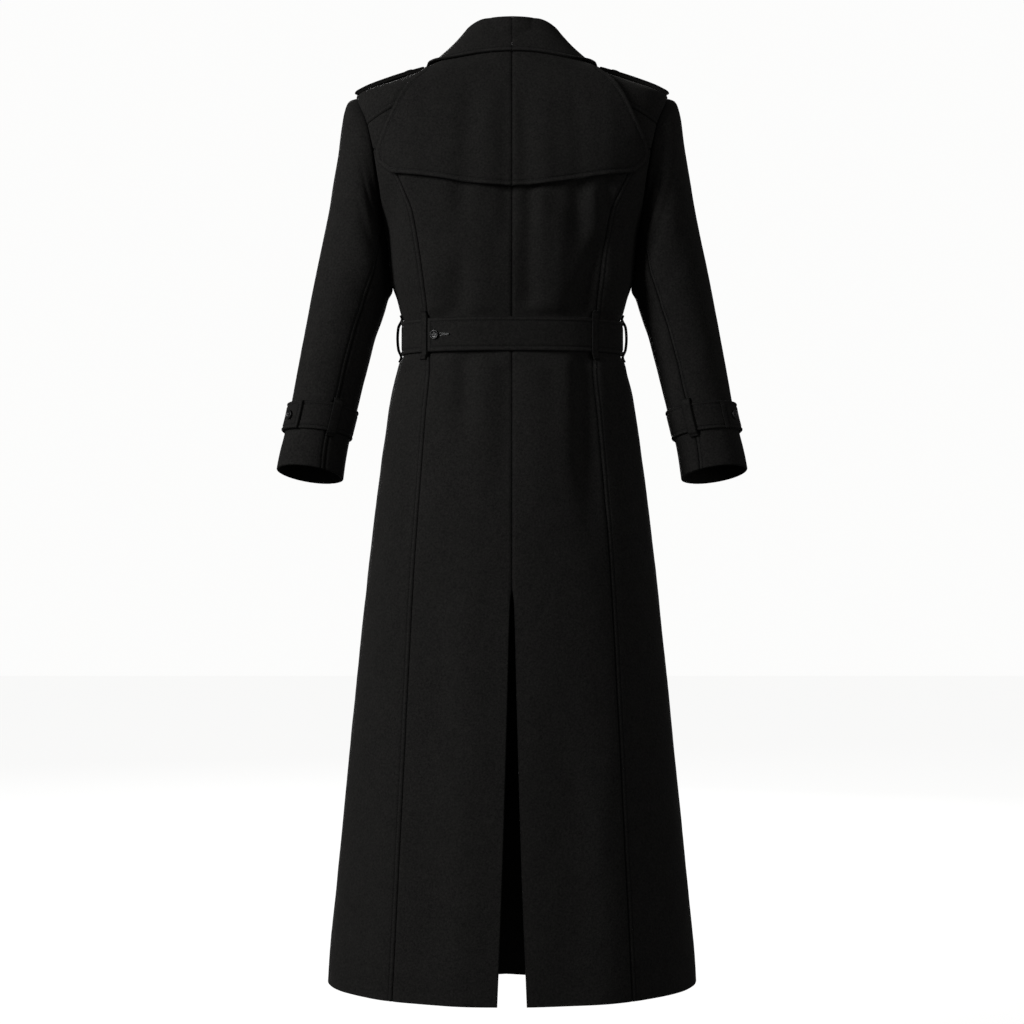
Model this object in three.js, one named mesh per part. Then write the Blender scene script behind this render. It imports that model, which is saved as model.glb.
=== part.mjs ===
import * as THREE from "three";

// Sizes are in millimetres. Z is up, the front faces -Y and the wearer's left is +X.
// The origin is where the coat bears on the wearer, between the shoulders.

// Cloth and seams
const wall = 2.5;
const seam = 0.2;

// Half width, depth behind and depth in front of the side seams at each height
const sections = [
  { z: 14, wide: 50, back: 59, front: 34, square: 2.5 },
  { z: 4, wide: 63, back: 64, front: 40, square: 2.6 },
  { z: -9, wide: 85, back: 70, front: 46, square: 2.7 },
  { z: -25, wide: 127, back: 76, front: 52, square: 2.8 },
  { z: -44, wide: 181, back: 84, front: 59, square: 2.8 },
  { z: -57, wide: 219, back: 89, front: 64, square: 2.8 },
  { z: -63, wide: 230, back: 91.5, front: 66, square: 2.8 },
  { z: -75, wide: 233, back: 96, front: 71, square: 2.8 },
  { z: -103, wide: 229, back: 104, front: 81, square: 2.8 },
  { z: -141, wide: 223, back: 114, front: 95, square: 2.75 },
  { z: -170, wide: 217.5, back: 118, front: 104, square: 2.7 },
  { z: -208, wide: 206.8, back: 120, front: 115, square: 2.65 },
  { z: -242, wide: 195.5, back: 120, front: 120, square: 2.6 },
  { z: -262, wide: 190, back: 119, front: 121.5, square: 2.5 },
  { z: -285, wide: 186, back: 117, front: 121, square: 2.45 },
  { z: -343, wide: 180, back: 111, front: 114, square: 2.35 },
  { z: -366, wide: 172.5, back: 107.5, front: 108, square: 2.3 },
  { z: -390, wide: 166, back: 103, front: 100, square: 2.25 },
  { z: -399, wide: 162, back: 100.5, front: 96.5, square: 2.2 },
  { z: -450, wide: 162, back: 101, front: 97, square: 2.2 },
  { z: -459, wide: 168, back: 104, front: 99.5, square: 2.2 },
  { z: -480, wide: 174, back: 108.5, front: 102, square: 2.2 },
  { z: -516, wide: 182, back: 115, front: 105, square: 2.2 },
  { z: -576, wide: 191, back: 125, front: 110, square: 2.15 },
  { z: -621, wide: 197, back: 130, front: 112.5, square: 2.15 },
  { z: -666, wide: 203, back: 135, front: 115, square: 2.15 },
  { z: -816, wide: 220, back: 148, front: 125, square: 2.1 },
  { z: -966, wide: 236, back: 160, front: 135, square: 2.1 },
  { z: -1116, wide: 251, back: 172, front: 142, square: 2.1 },
  { z: -1266, wide: 265.5, back: 183, front: 148, square: 2.1 },
  { z: -1341, wide: 273, back: 188, front: 150.5, square: 2.1 },
  { z: -1410, wide: 277, back: 192, front: 152, square: 2.1 },
];

// Heights at the outer edge of a panel where its rows lie
const levels = [
  -112, -131, -150, -166, -184, -203, -222, -238, -249, -255, -257, -285, -315, -343, -366, -390,
  -399, -425, -450, -459, -485, -520, -575, -645, -740, -860, -980, -1100, -1220, -1330, -1385,
];

// The largest folds of the back: place at the upper and lower end, half width and depth
const folds = [
  { topX: 119, topZ: -238, lowX: 113, lowZ: -384, half: 13, deep: 1.6 },
  { topX: 66, topZ: -262, lowX: 76, lowZ: -384, half: 16, deep: 2.2 },
  { topX: 14, topZ: -222, lowX: 8, lowZ: -330, half: 18, deep: 1.4 },
  { topX: -92, topZ: -222, lowX: -95, lowZ: -384, half: 16, deep: 3.6 },
  { topX: -118, topZ: -250, lowX: -114, lowZ: -384, half: 12, deep: -1.4 },
  { topX: 78, topZ: -466, lowX: 84, lowZ: -640, half: 20, deep: 2.2 },
  { topX: -91, topZ: -466, lowX: -106, lowZ: -740, half: 22, deep: 3.4 },
];
const foldEnds = 26;

// Armhole: an upright oval seen from the side
const armhole = { mid: -160, tall: 97, deep: 62 };

// Curved seam between the back and the side back, from the armhole to the hem
const princessTop = -150;
const princess = [
  { z: -150, x: 202 },
  { z: -165, x: 191 },
  { z: -180, x: 178.5 },
  { z: -195, x: 168 },
  { z: -214, x: 158.6 },
  { z: -245, x: 146.1 },
  { z: -283, x: 138.7 },
  { z: -343, x: 130.3 },
  { z: -386, x: 124.8 },
  { z: -425, x: 122.2 },
  { z: -462, x: 121.4 },
  { z: -550, x: 128.1 },
  { z: -682, x: 137.8 },
  { z: -839, x: 146.7 },
  { z: -1123, x: 160.1 },
  { z: -1371, x: 172.1 },
  { z: -1410, x: 174 },
];

// Back panel: how far across each column lies, and the height of its top end
const backTop = [
  { across: 0, top: 8 },
  { across: 0.084, top: 8 },
  { across: 0.168, top: 6.5 },
  { across: 0.243, top: 4 },
  { across: 0.35, top: -22 },
  { across: 0.457, top: -44 },
  { across: 0.564, top: -61 },
  { across: 0.672, top: -75 },
  { across: 0.784, top: -88 },
  { across: 0.896, top: -100 },
  { across: 1, top: -112 },
];
const yokeFrom = 3;
const backSettles = -330;

// Vent: half of the opening between the two backs
const vent = [
  { z: -700, half: 0.2 },
  { z: -790, half: 0.2 },
  { z: -812, half: 2.6 },
  { z: -953, half: 6.4 },
  { z: -1094, half: 10.3 },
  { z: -1235, half: 14.9 },
  { z: -1385, half: 21 },
];

// Front: top edge from the neck to the armhole, break line, lap and hem
const frontNeck = { turn: -0.92, z: -10 };
const frontArm = -85;
const frontSettles = -340;
const frontColumns = 8;
const lap = { x: -80, breakPoint: -250, rise: 4.2 };
const frontDip = 28;
const yokeTrim = 0.004;

// Sleeve rings: outer and inner end, half depth, drop of the front side and place of the back seam
const sleeveRings = [
  { outX: 230, outZ: -64, inX: 190.6, inZ: -256, deep: 61, tilt: 0, seam: 152 },
  { outX: 243, outZ: -69, inX: 191.2, inZ: -262, deep: 62, tilt: 0, seam: 155 },
  { outX: 250, outZ: -84, inX: 189.8, inZ: -272, deep: 63, tilt: 0, seam: 152 },
  { outX: 255, outZ: -108, inX: 187.3, inZ: -288, deep: 64, tilt: 0, seam: 145 },
  { outX: 260, outZ: -146, inX: 185.4, inZ: -308, deep: 65, tilt: 0, seam: 137 },
  { outX: 268, outZ: -193, inX: 183.3, inZ: -330, deep: 65, tilt: 1, seam: 130 },
  { outX: 276, outZ: -240, inX: 182.4, inZ: -350, deep: 64, tilt: 2, seam: 125.5 },
  { outX: 285, outZ: -285, inX: 188, inZ: -373, deep: 62, tilt: 3, seam: 123 },
  { outX: 295, outZ: -333, inX: 195.6, inZ: -398, deep: 59.5, tilt: 4, seam: 122 },
  { outX: 305.5, outZ: -388, inX: 207.6, inZ: -434, deep: 56.5, tilt: 6, seam: 121 },
  { outX: 317, outZ: -448, inX: 221, inZ: -484, deep: 53, tilt: 8, seam: 120 },
  { outX: 325, outZ: -492, inX: 230, inZ: -521, deep: 50, tilt: 9, seam: 120 },
  { outX: 330, outZ: -520, inX: 236, inZ: -545, deep: 48.5, tilt: 10, seam: 119 },
  { outX: 335, outZ: -545, inX: 241.5, inZ: -567, deep: 47.5, tilt: 10.5, seam: 118 },
  { outX: 341, outZ: -568, inX: 246.5, inZ: -588, deep: 47, tilt: 11, seam: 118 },
  { outX: 348, outZ: -596, inX: 250.5, inZ: -612, deep: 46.5, tilt: 11.5, seam: 119 },
  { outX: 353, outZ: -621, inX: 253.5, inZ: -634.5, deep: 46, tilt: 12, seam: 121 },
];
const foreSeam = -130;

// Collar: roll line and outer edge from the centre back round to the front
const collarRows = [
  { rx: 0, ry: 58, rz: 46, ex: 0, ey: 77, ez: -8.5 },
  { rx: 38, ry: 54, rz: 45, ex: 44, ey: 76, ez: -10.3 },
  { rx: 62, ry: 43, rz: 36, ex: 82, ey: 70, ez: -14.8 },
  { rx: 72.5, ry: 25, rz: 27, ex: 108, ey: 56, ez: -19 },
  { rx: 77, ry: 5, rz: 18, ex: 124, ey: 22, ez: -20 },
  { rx: 75, ry: -20, rz: 6, ex: 126, ey: -20, ez: -29 },
  { rx: 62, ry: -44, rz: -4, ex: 124, ey: -52, ez: -57 },
  { rx: 48, ry: -61, rz: -26, ex: 104, ey: -74, ez: -88 },
];
const collarClear = 8.6;
const rollClear = 3.8;
const collarBulge = 1;

// Storm flap: outer edge and lower edge on the back
const flapTop = [
  { x: 0, z: 0 },
  { x: 44, z: -3 },
  { x: 90, z: -17 },
  { x: 128, z: -34 },
];
const flapSide = [
  { x: 128, z: -34 },
  { x: 149, z: -53 },
  { x: 164, z: -73 },
  { x: 175.5, z: -96 },
  { x: 187.5, z: -122 },
  { x: 194.5, z: -141 },
  { x: 197.5, z: -156 },
  { x: 194.5, z: -169 },
  { x: 188, z: -177 },
];
const flapBottom = [
  { x: 0, z: -212.7 },
  { x: 34, z: -210.8 },
  { x: 68, z: -206.5 },
  { x: 119, z: -197.5 },
  { x: 150, z: -192.5 },
  { x: 174.5, z: -188 },
  { x: 181, z: -183.5 },
  { x: 188, z: -177 },
];
const flapLift = 1.4;
const flapStand = 2.2;
const flapTopLift = 1.4;

// Lapels: corners on the front, in the panel's own left-hand sense
const lapelTop = { inner: -42, tipX: 128, tipZ: -118 };
const lapelLeft = { innerX: 4, innerZ: -104, outerX: 37, outerZ: -174 };
const lapelRight = { innerX: -75, innerZ: -243, outerX: -64, outerZ: -247 };
const lapelLift = 1.5;

// Belt, from its free end at the wearer's left back right round to its hidden end
const belt = { top: -399.5, bottom: -449.5, thick: 2.4, lift: 1.0, over: 4.0, columns: 54 };
const beltEnds = { freeX: 120.7, hiddenX: 62, rampTurns: 0.3 };

// Loops over the belt: height and distance off the coat of their outer face
const loopThick = 2;
const backLoop = { leftX: 125.5, rightX: 119.5, half: 3.5 };
const backLoopRows = [
  { z: -389.5, out: 2.4 },
  { z: -392.5, out: 2.7 },
  { z: -396, out: 5.8 },
  { z: -401, out: 6.4 },
  { z: -425, out: 6.6 },
  { z: -448, out: 6.4 },
  { z: -453.5, out: 5.8 },
  { z: -457, out: 2.7 },
  { z: -460, out: 2.4 },
];
const sideLoop = { turn: 0, half: 2.5 };
const sideLoopRows = [
  { z: -389.5, out: 2.4 },
  { z: -393, out: 3.2 },
  { z: -399, out: 7.4 },
  { z: -408, out: 10.4 },
  { z: -424, out: 11.6 },
  { z: -440, out: 10.4 },
  { z: -450, out: 7.6 },
  { z: -456, out: 3.2 },
  { z: -459.5, out: 2.4 },
];

// Cuff strap, round the sleeve from under its own end
const strap = { middle: -545, half: 20.5, slope: -9, thick: 2.2, lift: 0.9, over: 4.0 };
const strapTurn = { from: 20, to: 421, columns: 24 };
const cuffLoop = { turn: 119, half: 6.5, thick: 1.8 };
const cuffLoopRows = [
  { up: 28, out: 2.9 },
  { up: 25, out: 3.3 },
  { up: 21.5, out: 6.0 },
  { up: 0, out: 6.4 },
  { up: -21.5, out: 6.0 },
  { up: -25, out: 3.3 },
  { up: -28, out: 2.9 },
];

// Epaulette on the shoulder
const epaulette = { from: 137, to: 229, half: 20, lift: 3.85, bow: 2.5, thick: 3 };

// Buttons: radius, thickness and how far the underside stands off the cloth
const buttonSides = 14;
const cuffButton = { turn: 38, radius: 7, thick: 3, off: 0.5 };
const beltButton = { x: 110, radius: 6.5, thick: 3, off: 0.5 };
const epauletteButton = { x: 152, radius: 7, thick: 3, off: 0.9 };
const frontButton = { x: 55, radius: 11, thick: 3.5, offLeft: 0, offRight: 0.5 };
const frontButtonRows = [-310, -520, -650];

// Colours
const wool = { color: 0x151413, roughness: 0.95 };
const horn = { color: 0x0d0d0e, roughness: 0.4 };

// Smooth curve through one column of a table, without overshoot between its rows
function smooth(rows, along, key) {
  const order = [...rows].sort((p, q) => p[along] - q[along]);
  const t = order.map((row) => row[along]);
  const v = order.map((row) => row[key]);
  const last = t.length - 1;
  const rise = t.slice(1).map((next, i) => (v[i + 1] - v[i]) / (next - t[i]));
  const slope = t.map((here, i) => {
    if (i === 0) return rise[0];
    if (i === last) return rise[last - 1];
    if (rise[i - 1] * rise[i] <= 0) return 0;
    return (2 * rise[i - 1] * rise[i]) / (rise[i - 1] + rise[i]);
  });
  return (at) => {
    if (at <= t[0]) return v[0];
    if (at >= t[last]) return v[last];
    let i = 0;
    while (at > t[i + 1]) i += 1;
    const step = t[i + 1] - t[i];
    const s = (at - t[i]) / step;
    const keep = 1 + 2 * s;
    const left = 1 - s;
    return (
      v[i] * keep * left * left +
      slope[i] * step * s * left * left +
      v[i + 1] * s * s * (3 - 2 * s) +
      slope[i + 1] * step * s * s * (s - 1)
    );
  };
}

const wide = smooth(sections, "z", "wide");
const back = smooth(sections, "z", "back");
const front = smooth(sections, "z", "front");
const square = smooth(sections, "z", "square");
const princessX = smooth(princess, "z", "x");
const ventHalf = smooth(vent, "z", "half");

function mix(p, q, s) {
  return p + (q - p) * s;
}

function ramp(from, to, at) {
  const s = Math.min(1, Math.max(0, (at - from) / (to - from)));
  return s * s * (3 - 2 * s);
}

function add(p, q, s) {
  return [p[0] + q[0] * s, p[1] + q[1] * s, p[2] + q[2] * s];
}

function unit(p) {
  const size = Math.hypot(p[0], p[1], p[2]);
  return [p[0] / size, p[1] / size, p[2] / size];
}

function cross(p, q) {
  return [p[1] * q[2] - p[2] * q[1], p[2] * q[0] - p[0] * q[2], p[0] * q[1] - p[1] * q[0]];
}

function minus(p, q) {
  return [p[0] - q[0], p[1] - q[1], p[2] - q[2]];
}

// Body of the coat: turn 0 is the side seam, a quarter turn is the centre back
function bodyAt(turn, z) {
  const depth = Math.sin(turn) > 0 ? back(z) : front(z);
  const angle = Math.atan2(depth * Math.sin(turn), wide(z) * Math.cos(turn));
  const n = square(z);
  const across = Math.abs(Math.cos(angle) / wide(z)) ** n;
  const through = Math.abs(Math.sin(angle) / depth) ** n;
  const reach = (across + through) ** (-1 / n);
  return [reach * Math.cos(angle), reach * Math.sin(angle), z];
}

function turnOf(x, y, z) {
  const depth = y > 0 ? back(z) : front(z);
  return Math.atan2(y / depth, x / wide(z));
}

function depthAt(x, z, side) {
  const depth = side > 0 ? back(z) : front(z);
  const n = square(z);
  const rest = Math.max(0, 1 - Math.abs(x / wide(z)) ** n);
  return side * depth * rest ** (1 / n);
}

function acrossAt(y, z) {
  const depth = y > 0 ? back(z) : front(z);
  const n = square(z);
  return wide(z) * Math.max(0, 1 - Math.abs(y / depth) ** n) ** (1 / n);
}

function backAt(x, z) {
  return [x, depthAt(x, z, 1), z];
}

function frontAt(x, z) {
  return [x, depthAt(x, z, -1), z];
}

// Size of the section through a point against the coat's own: 1 on the coat, more outside it
function swell(p) {
  const depth = p[1] > 0 ? back(p[2]) : front(p[2]);
  const n = square(p[2]);
  return (Math.abs(p[0] / wide(p[2])) ** n + Math.abs(p[1] / depth) ** n) ** (1 / n);
}

function steep(p) {
  const h = 0.4;
  return [0, 1, 2].map((axis) => {
    const up = [...p];
    const down = [...p];
    up[axis] += h;
    down[axis] -= h;
    return (swell(up) - swell(down)) / (2 * h);
  });
}

function outward(p) {
  return unit(steep(p));
}

function raised(p, height) {
  return add(p, outward(p), height);
}

// How far the back's folds draw the cloth in at a place
function foldAt(x, z) {
  let deep = 0;
  for (const fold of folds) {
    const along = (fold.topZ - z) / (fold.topZ - fold.lowZ);
    const middle = mix(fold.topX, fold.lowX, along);
    const off = (x - middle) / fold.half;
    const ends = ramp(fold.topZ + 4, fold.topZ - foldEnds, z) * ramp(fold.lowZ - 4, fold.lowZ + foldEnds, z);
    deep += fold.deep * ends * Math.exp(-off * off);
  }
  return deep;
}

// Push a point out until it stands clear of the coat
function clearOf(p, height) {
  let here = p;
  for (let pass = 0; pass < 4; pass += 1) {
    const slope = steep(here);
    const off = (swell(here) - 1) / Math.hypot(slope[0], slope[1], slope[2]);
    if (off < height) here = add(here, unit(slope), height - off);
  }
  return here;
}

// Materials and pieces
function material(look) {
  return new THREE.MeshStandardMaterial({ color: look.color, roughness: look.roughness });
}

function volumeOf(points, faces) {
  let six = 0;
  for (const [a, b, c] of faces) {
    const n = cross(points[b], points[c]);
    six += points[a][0] * n[0] + points[a][1] * n[1] + points[a][2] * n[2];
  }
  return six / 6;
}

function solid(name, points, faces, look) {
  const turned = volumeOf(points, faces) < 0 ? faces.map(([a, b, c]) => [a, c, b]) : faces;
  const geometry = new THREE.BufferGeometry();
  geometry.setAttribute("position", new THREE.Float32BufferAttribute(points.flat(), 3));
  geometry.setIndex(turned.flat());
  geometry.computeVertexNormals();
  const mesh = new THREE.Mesh(geometry, material(look));
  mesh.name = name;
  return mesh;
}

function areaOf(p, q, r) {
  return Math.hypot(...cross(minus(q, p), minus(r, p)));
}

// Two triangles for a four-sided cell, split so that neither is a sliver
function cell(points, a, b, c, d) {
  const one = Math.min(areaOf(points[a], points[b], points[c]), areaOf(points[a], points[c], points[d]));
  const two = Math.min(areaOf(points[a], points[b], points[d]), areaOf(points[b], points[c], points[d]));
  return one > two * 1.05 ? [[a, b, c], [a, c, d]] : [[a, b, d], [b, c, d]];
}

// A closed piece of cloth from a grid of outer points and the matching inner ones
function cloth(name, rows, columns, outerAt, innerAt, look) {
  const points = [];
  for (let i = 0; i <= rows; i += 1) for (let j = 0; j <= columns; j += 1) points.push(outerAt(i, j));
  for (let i = 0; i <= rows; i += 1) for (let j = 0; j <= columns; j += 1) points.push(innerAt(i, j));
  const count = (rows + 1) * (columns + 1);
  const at = (i, j) => i * (columns + 1) + j;
  const faces = [];
  for (let i = 0; i < rows; i += 1) {
    for (let j = 0; j < columns; j += 1) {
      const pair = cell(points, at(i, j), at(i + 1, j), at(i + 1, j + 1), at(i, j + 1));
      faces.push(...pair);
      faces.push(...pair.map(([a, b, c]) => [a + count, c + count, b + count]));
    }
  }
  const rim = [];
  for (let j = 0; j < columns; j += 1) rim.push([at(0, j), at(0, j + 1)]);
  for (let i = 0; i < rows; i += 1) rim.push([at(i, columns), at(i + 1, columns)]);
  for (let j = columns; j > 0; j -= 1) rim.push([at(rows, j), at(rows, j - 1)]);
  for (let i = rows; i > 0; i -= 1) rim.push([at(i, 0), at(i - 1, 0)]);
  for (const [a, b] of rim) faces.push([a, b, b + count], [a, b + count, a + count]);
  return solid(name, points, faces, look);
}

function mirror(p) {
  return [-p[0], p[1], p[2]];
}

// The same piece for the wearer's left and right
function pair(name, rows, columns, outerAt, innerAt, look) {
  const left = cloth(`${name}_left`, rows, columns, outerAt, innerAt, look);
  const otherOuter = (i, j) => mirror(outerAt(i, j));
  const otherInner = (i, j) => mirror(innerAt(i, j));
  return [left, cloth(`${name}_right`, rows, columns, otherOuter, otherInner, look)];
}

// A piece that follows the body: its outer face at one height above it, its inner face at another
function onBody(pointAt, outer, inner) {
  return [(i, j) => raised(pointAt(i, j), outer(i, j)), (i, j) => raised(pointAt(i, j), inner(i, j))];
}

// Armhole
function armAt(clock, shrink) {
  const z = armhole.mid + (armhole.tall - shrink) * Math.cos(clock);
  const y = (armhole.deep - shrink) * Math.sin(clock);
  return [acrossAt(y, z), y, z];
}

function armEdge(z, side) {
  const s = Math.min(1, Math.max(-1, (z - armhole.mid) / (armhole.tall + seam)));
  const y = side * (armhole.deep + seam) * Math.sqrt(1 - s * s);
  return [acrossAt(y, z), y, z];
}

// Backs
function backOuter(z) {
  return z > princessTop + 1 ? armEdge(z, 1)[0] : princessX(z) - seam;
}

function backColumnZ(j, level) {
  const share = Math.max(0, (level - backSettles) / (levels[0] - backSettles));
  return level + (backTop[j].top - levels[0]) * share;
}

function backPoint(i, j) {
  const z = backColumnZ(j, levels[i]);
  const inner = ventHalf(z);
  const x = mix(inner, backOuter(levels[i]), backTop[j].across);
  const drop = i === 0 && j >= yokeFrom ? seam : 0;
  return backAt(x, z - drop);
}

function sideLevels() {
  return levels.filter((z) => z <= princessTop);
}

function sideBackPoint(i, j) {
  const z = sideLevels()[i];
  const inner = backAt(princessX(z) + seam, z);
  const bottom = armhole.mid - armhole.tall;
  const outer = z >= bottom ? armEdge(z, 1) : bodyAt(0, z);
  const from = turnOf(inner[0], inner[1], z);
  const trim = z >= bottom - 0.5 ? 0 : seam / back(z);
  const to = turnOf(outer[0], outer[1], z) + trim;
  return bodyAt(mix(from, to, j / 4), z);
}

// The two faces of a back piece with its folds, on the wearer's left or right
function folded(pointAt, side) {
  const face = (depth) => (i, j) => {
    const p = pointAt(i, j);
    const q = raised(p, -depth - (p[1] > 0 ? foldAt(side * p[0], p[2]) : 0));
    return side > 0 ? q : mirror(q);
  };
  return [face(0), face(wall)];
}

function bodyPieces() {
  const backRows = levels.length - 1;
  const sideRows = sideLevels().length - 1;
  return [1, -1].flatMap((side) => {
    const where = side > 0 ? "left" : "right";
    const [backOut, backIn] = folded(backPoint, side);
    const [sideOut, sideIn] = folded(sideBackPoint, side);
    return [
      cloth(`back_${where}`, backRows, backTop.length - 1, backOut, backIn, wool),
      cloth(`side_back_${where}`, sideRows, 4, sideOut, sideIn, wool),
    ];
  });
}

// Fronts, in the left-hand sense
function frontTopZ(share) {
  return mix(frontNeck.z, frontArm, share);
}

function breakX(z) {
  const start = bodyAt(frontNeck.turn, frontNeck.z)[0];
  return mix(start, lap.x, Math.min(1, (frontNeck.z - z) / (frontNeck.z - lap.breakPoint)));
}

function frontLevels() {
  return [frontArm, ...levels];
}

function frontPoint(i, j) {
  const level = frontLevels()[i];
  const share = j / frontColumns;
  const hold = Math.max(0, (level - frontSettles) / (frontArm - frontSettles));
  const dip = frontDip * (1 - share) * ramp(-1085, -1385, level);
  const heightOf = (s) => level + (frontTopZ(s) - frontArm) * hold;
  const z = heightOf(share) - dip - (i === 0 ? seam : 0);
  const edgeZ = heightOf(0);
  const edge = frontAt(breakX(edgeZ), edgeZ);
  const aside = i === 0 ? yokeTrim : 0;
  const from = turnOf(edge[0], edge[1], edgeZ) - aside;
  const bottom = armhole.mid - armhole.tall;
  const arm = level >= bottom ? armEdge(level, -1) : bodyAt(0, level);
  const trim = level >= bottom - 0.5 ? 0 : seam / front(level);
  const to = turnOf(arm[0], arm[1], level) - trim - aside;
  return bodyAt(mix(from, to, share), z);
}

function lapRise(p) {
  return lap.rise * ramp(170, 115, p[0]) * ramp(-50, -112, p[2]);
}

function frontPieces() {
  const rows = frontLevels().length - 1;
  const [outer, inner] = onBody(frontPoint, () => 0, () => -wall);
  const left = cloth("front_left", rows, frontColumns, outer, inner, wool);
  const rise = (i, j) => lapRise(frontPoint(i, j));
  const [outerLap, innerLap] = onBody(frontPoint, rise, (i, j) => rise(i, j) - wall);
  const rightOuter = (i, j) => mirror(outerLap(i, j));
  const rightInner = (i, j) => mirror(innerLap(i, j));
  return [left, cloth("front_right", rows, frontColumns, rightOuter, rightInner, wool)];
}

// Yoke over the shoulder, as a sheet between four edges given by turn and height
const yokeRows = 10;
const yokeColumns = 7;

function chart(p) {
  return { turn: turnOf(p[0], p[1], p[2]), z: p[2] };
}

function yokeBackEdge(j) {
  const column = backTop[yokeFrom + j];
  const outer = armEdge(levels[0], 1)[0];
  const x = mix(ventHalf(column.top), outer, column.across);
  return chart(backAt(x, column.top + seam));
}

function yokeFrontEdge(j) {
  const share = j / yokeColumns;
  const arm = chart(armEdge(frontArm, -1));
  return { turn: mix(frontNeck.turn, arm.turn, share) + yokeTrim, z: frontTopZ(share) + seam };
}

function yokeArmEdge(i) {
  const from = Math.acos((levels[0] + seam - armhole.mid) / armhole.tall);
  const to = -Math.acos((frontArm + seam - armhole.mid) / armhole.tall);
  return chart(armAt(mix(from, to, i / yokeRows), -seam));
}

function yokeNeckEdge(i) {
  const from = yokeBackEdge(0);
  const to = yokeFrontEdge(0);
  const s = i / yokeRows;
  return { turn: mix(from.turn, to.turn, s), z: mix(from.z, to.z, s) };
}

function yokePoint(i, j) {
  const u = j / yokeColumns;
  const v = i / yokeRows;
  const blend = (key) => {
    const across = mix(yokeNeckEdge(i)[key], yokeArmEdge(i)[key], u);
    const along = mix(yokeBackEdge(j)[key], yokeFrontEdge(j)[key], v);
    const near = mix(yokeBackEdge(0)[key], yokeBackEdge(yokeColumns)[key], u);
    const far = mix(yokeFrontEdge(0)[key], yokeFrontEdge(yokeColumns)[key], u);
    return across + along - mix(near, far, v);
  };
  return bodyAt(blend("turn"), blend("z"));
}

// Storm flap on the back
const flapRows = 9;
const flapColumns = 9;

function alongLine(table, s) {
  const place = s * (table.length - 1);
  const rows = table.map((row, index) => ({ ...row, index }));
  return { x: smooth(rows, "index", "x")(place), z: smooth(rows, "index", "z")(place) };
}

function flapChart(i, j) {
  const u = j / flapColumns;
  const v = i / flapRows;
  const top = alongLine(flapTop, u);
  const bottom = alongLine(flapBottom, u);
  const side = alongLine(flapSide, v);
  const blend = (key) => {
    const middle = mix(flapTop[0][key], flapBottom[0][key], v);
    const across = mix(middle, side[key], u);
    const along = mix(top[key], bottom[key], v);
    const near = mix(flapTop[0][key], flapTop[flapTop.length - 1][key], u);
    const far = mix(flapBottom[0][key], flapBottom[flapBottom.length - 1][key], u);
    return across + along - mix(near, far, v);
  };
  return { x: Math.max(seam, blend("x")), z: blend("z") };
}

function flapPoint(i, j) {
  const place = flapChart(i, j);
  return backAt(place.x, place.z);
}

function flapHeight(i) {
  const v = i / flapRows;
  return flapLift + wall + flapStand * ramp(0.55, 1, v) + flapTopLift * ramp(0.4, 0.1, v);
}

// Lapels on the front
const lapelRows = 5;
const lapelColumns = 4;

function lapelPoint(corners, i, j) {
  const u = j / lapelColumns;
  const v = i / lapelRows;
  const innerZ = mix(lapelTop.inner, corners.innerZ, v);
  const innerX = Math.max(corners.innerX, breakX(innerZ) + 1);
  const outerX = mix(lapelTop.tipX, corners.outerX, v);
  const outerZ = mix(lapelTop.tipZ, corners.outerZ, v);
  return frontAt(mix(innerX, outerX, u), mix(innerZ, outerZ, u));
}

function lapelPieces() {
  const left = (i, j) => lapelPoint(lapelLeft, i, j);
  const right = (i, j) => lapelPoint(lapelRight, i, j);
  const [outer, inner] = onBody(left, () => lapelLift + wall, () => lapelLift);
  const base = (i, j) => lapRise(right(i, j)) + lapelLift;
  const [over, under] = onBody(right, (i, j) => base(i, j) + wall, base);
  const rightOuter = (i, j) => mirror(over(i, j));
  const rightInner = (i, j) => mirror(under(i, j));
  return [
    cloth("lapel_left", lapelRows, lapelColumns, outer, inner, wool),
    cloth("lapel_right", lapelRows, lapelColumns, rightOuter, rightInner, wool),
  ];
}

// Collar fall and stand
const collarIndexed = collarRows.map((row, index) => ({ ...row, index }));
const collarCurve = {};
for (const key of ["rx", "ry", "rz", "ex", "ey", "ez"]) {
  collarCurve[key] = smooth(collarIndexed, "index", key);
}

function rollAt(place) {
  return [collarCurve.rx(place), collarCurve.ry(place), collarCurve.rz(place)];
}

function edgeAt(place) {
  return [collarCurve.ex(place), collarCurve.ey(place), collarCurve.ez(place)];
}

// Level direction away from the neck at a place on the roll line
function awayAt(place) {
  const p = rollAt(place - 0.05);
  const q = rollAt(place + 0.05);
  const end = place < 0.06 ? [0, 1, 0] : unit([p[1] - q[1], q[0] - p[0], 0]);
  return end;
}

function fallAt(place, share) {
  const roll = rollAt(place);
  const edge = edgeAt(place);
  const along = minus(edge, roll);
  const bulged = add(add(roll, along, share), awayAt(place), collarBulge * Math.sin(Math.PI * share));
  return clearOf(bulged, mix(rollClear, collarClear, ramp(0, 0.35, share)));
}

function fallNormal(place, share) {
  const h = 0.02;
  const a = Math.max(0, place - h);
  const b = Math.min(collarRows.length - 1, place + h);
  const c = Math.max(0, share - h);
  const d = Math.min(1, share + h);
  const round = minus(fallAt(b, share), fallAt(a, share));
  const down = minus(fallAt(place, d), fallAt(place, c));
  const n = unit(cross(round, down));
  return place < 0.01 ? unit([0, n[1], n[2]]) : n;
}

const fallRows = 5;
const fallColumns = 12;

function fallOuter(i, j) {
  const place = (j / fallColumns) * (collarRows.length - 1);
  const p = fallAt(place, i / fallRows);
  return [Math.max(seam, p[0]), p[1], p[2]];
}

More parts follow.
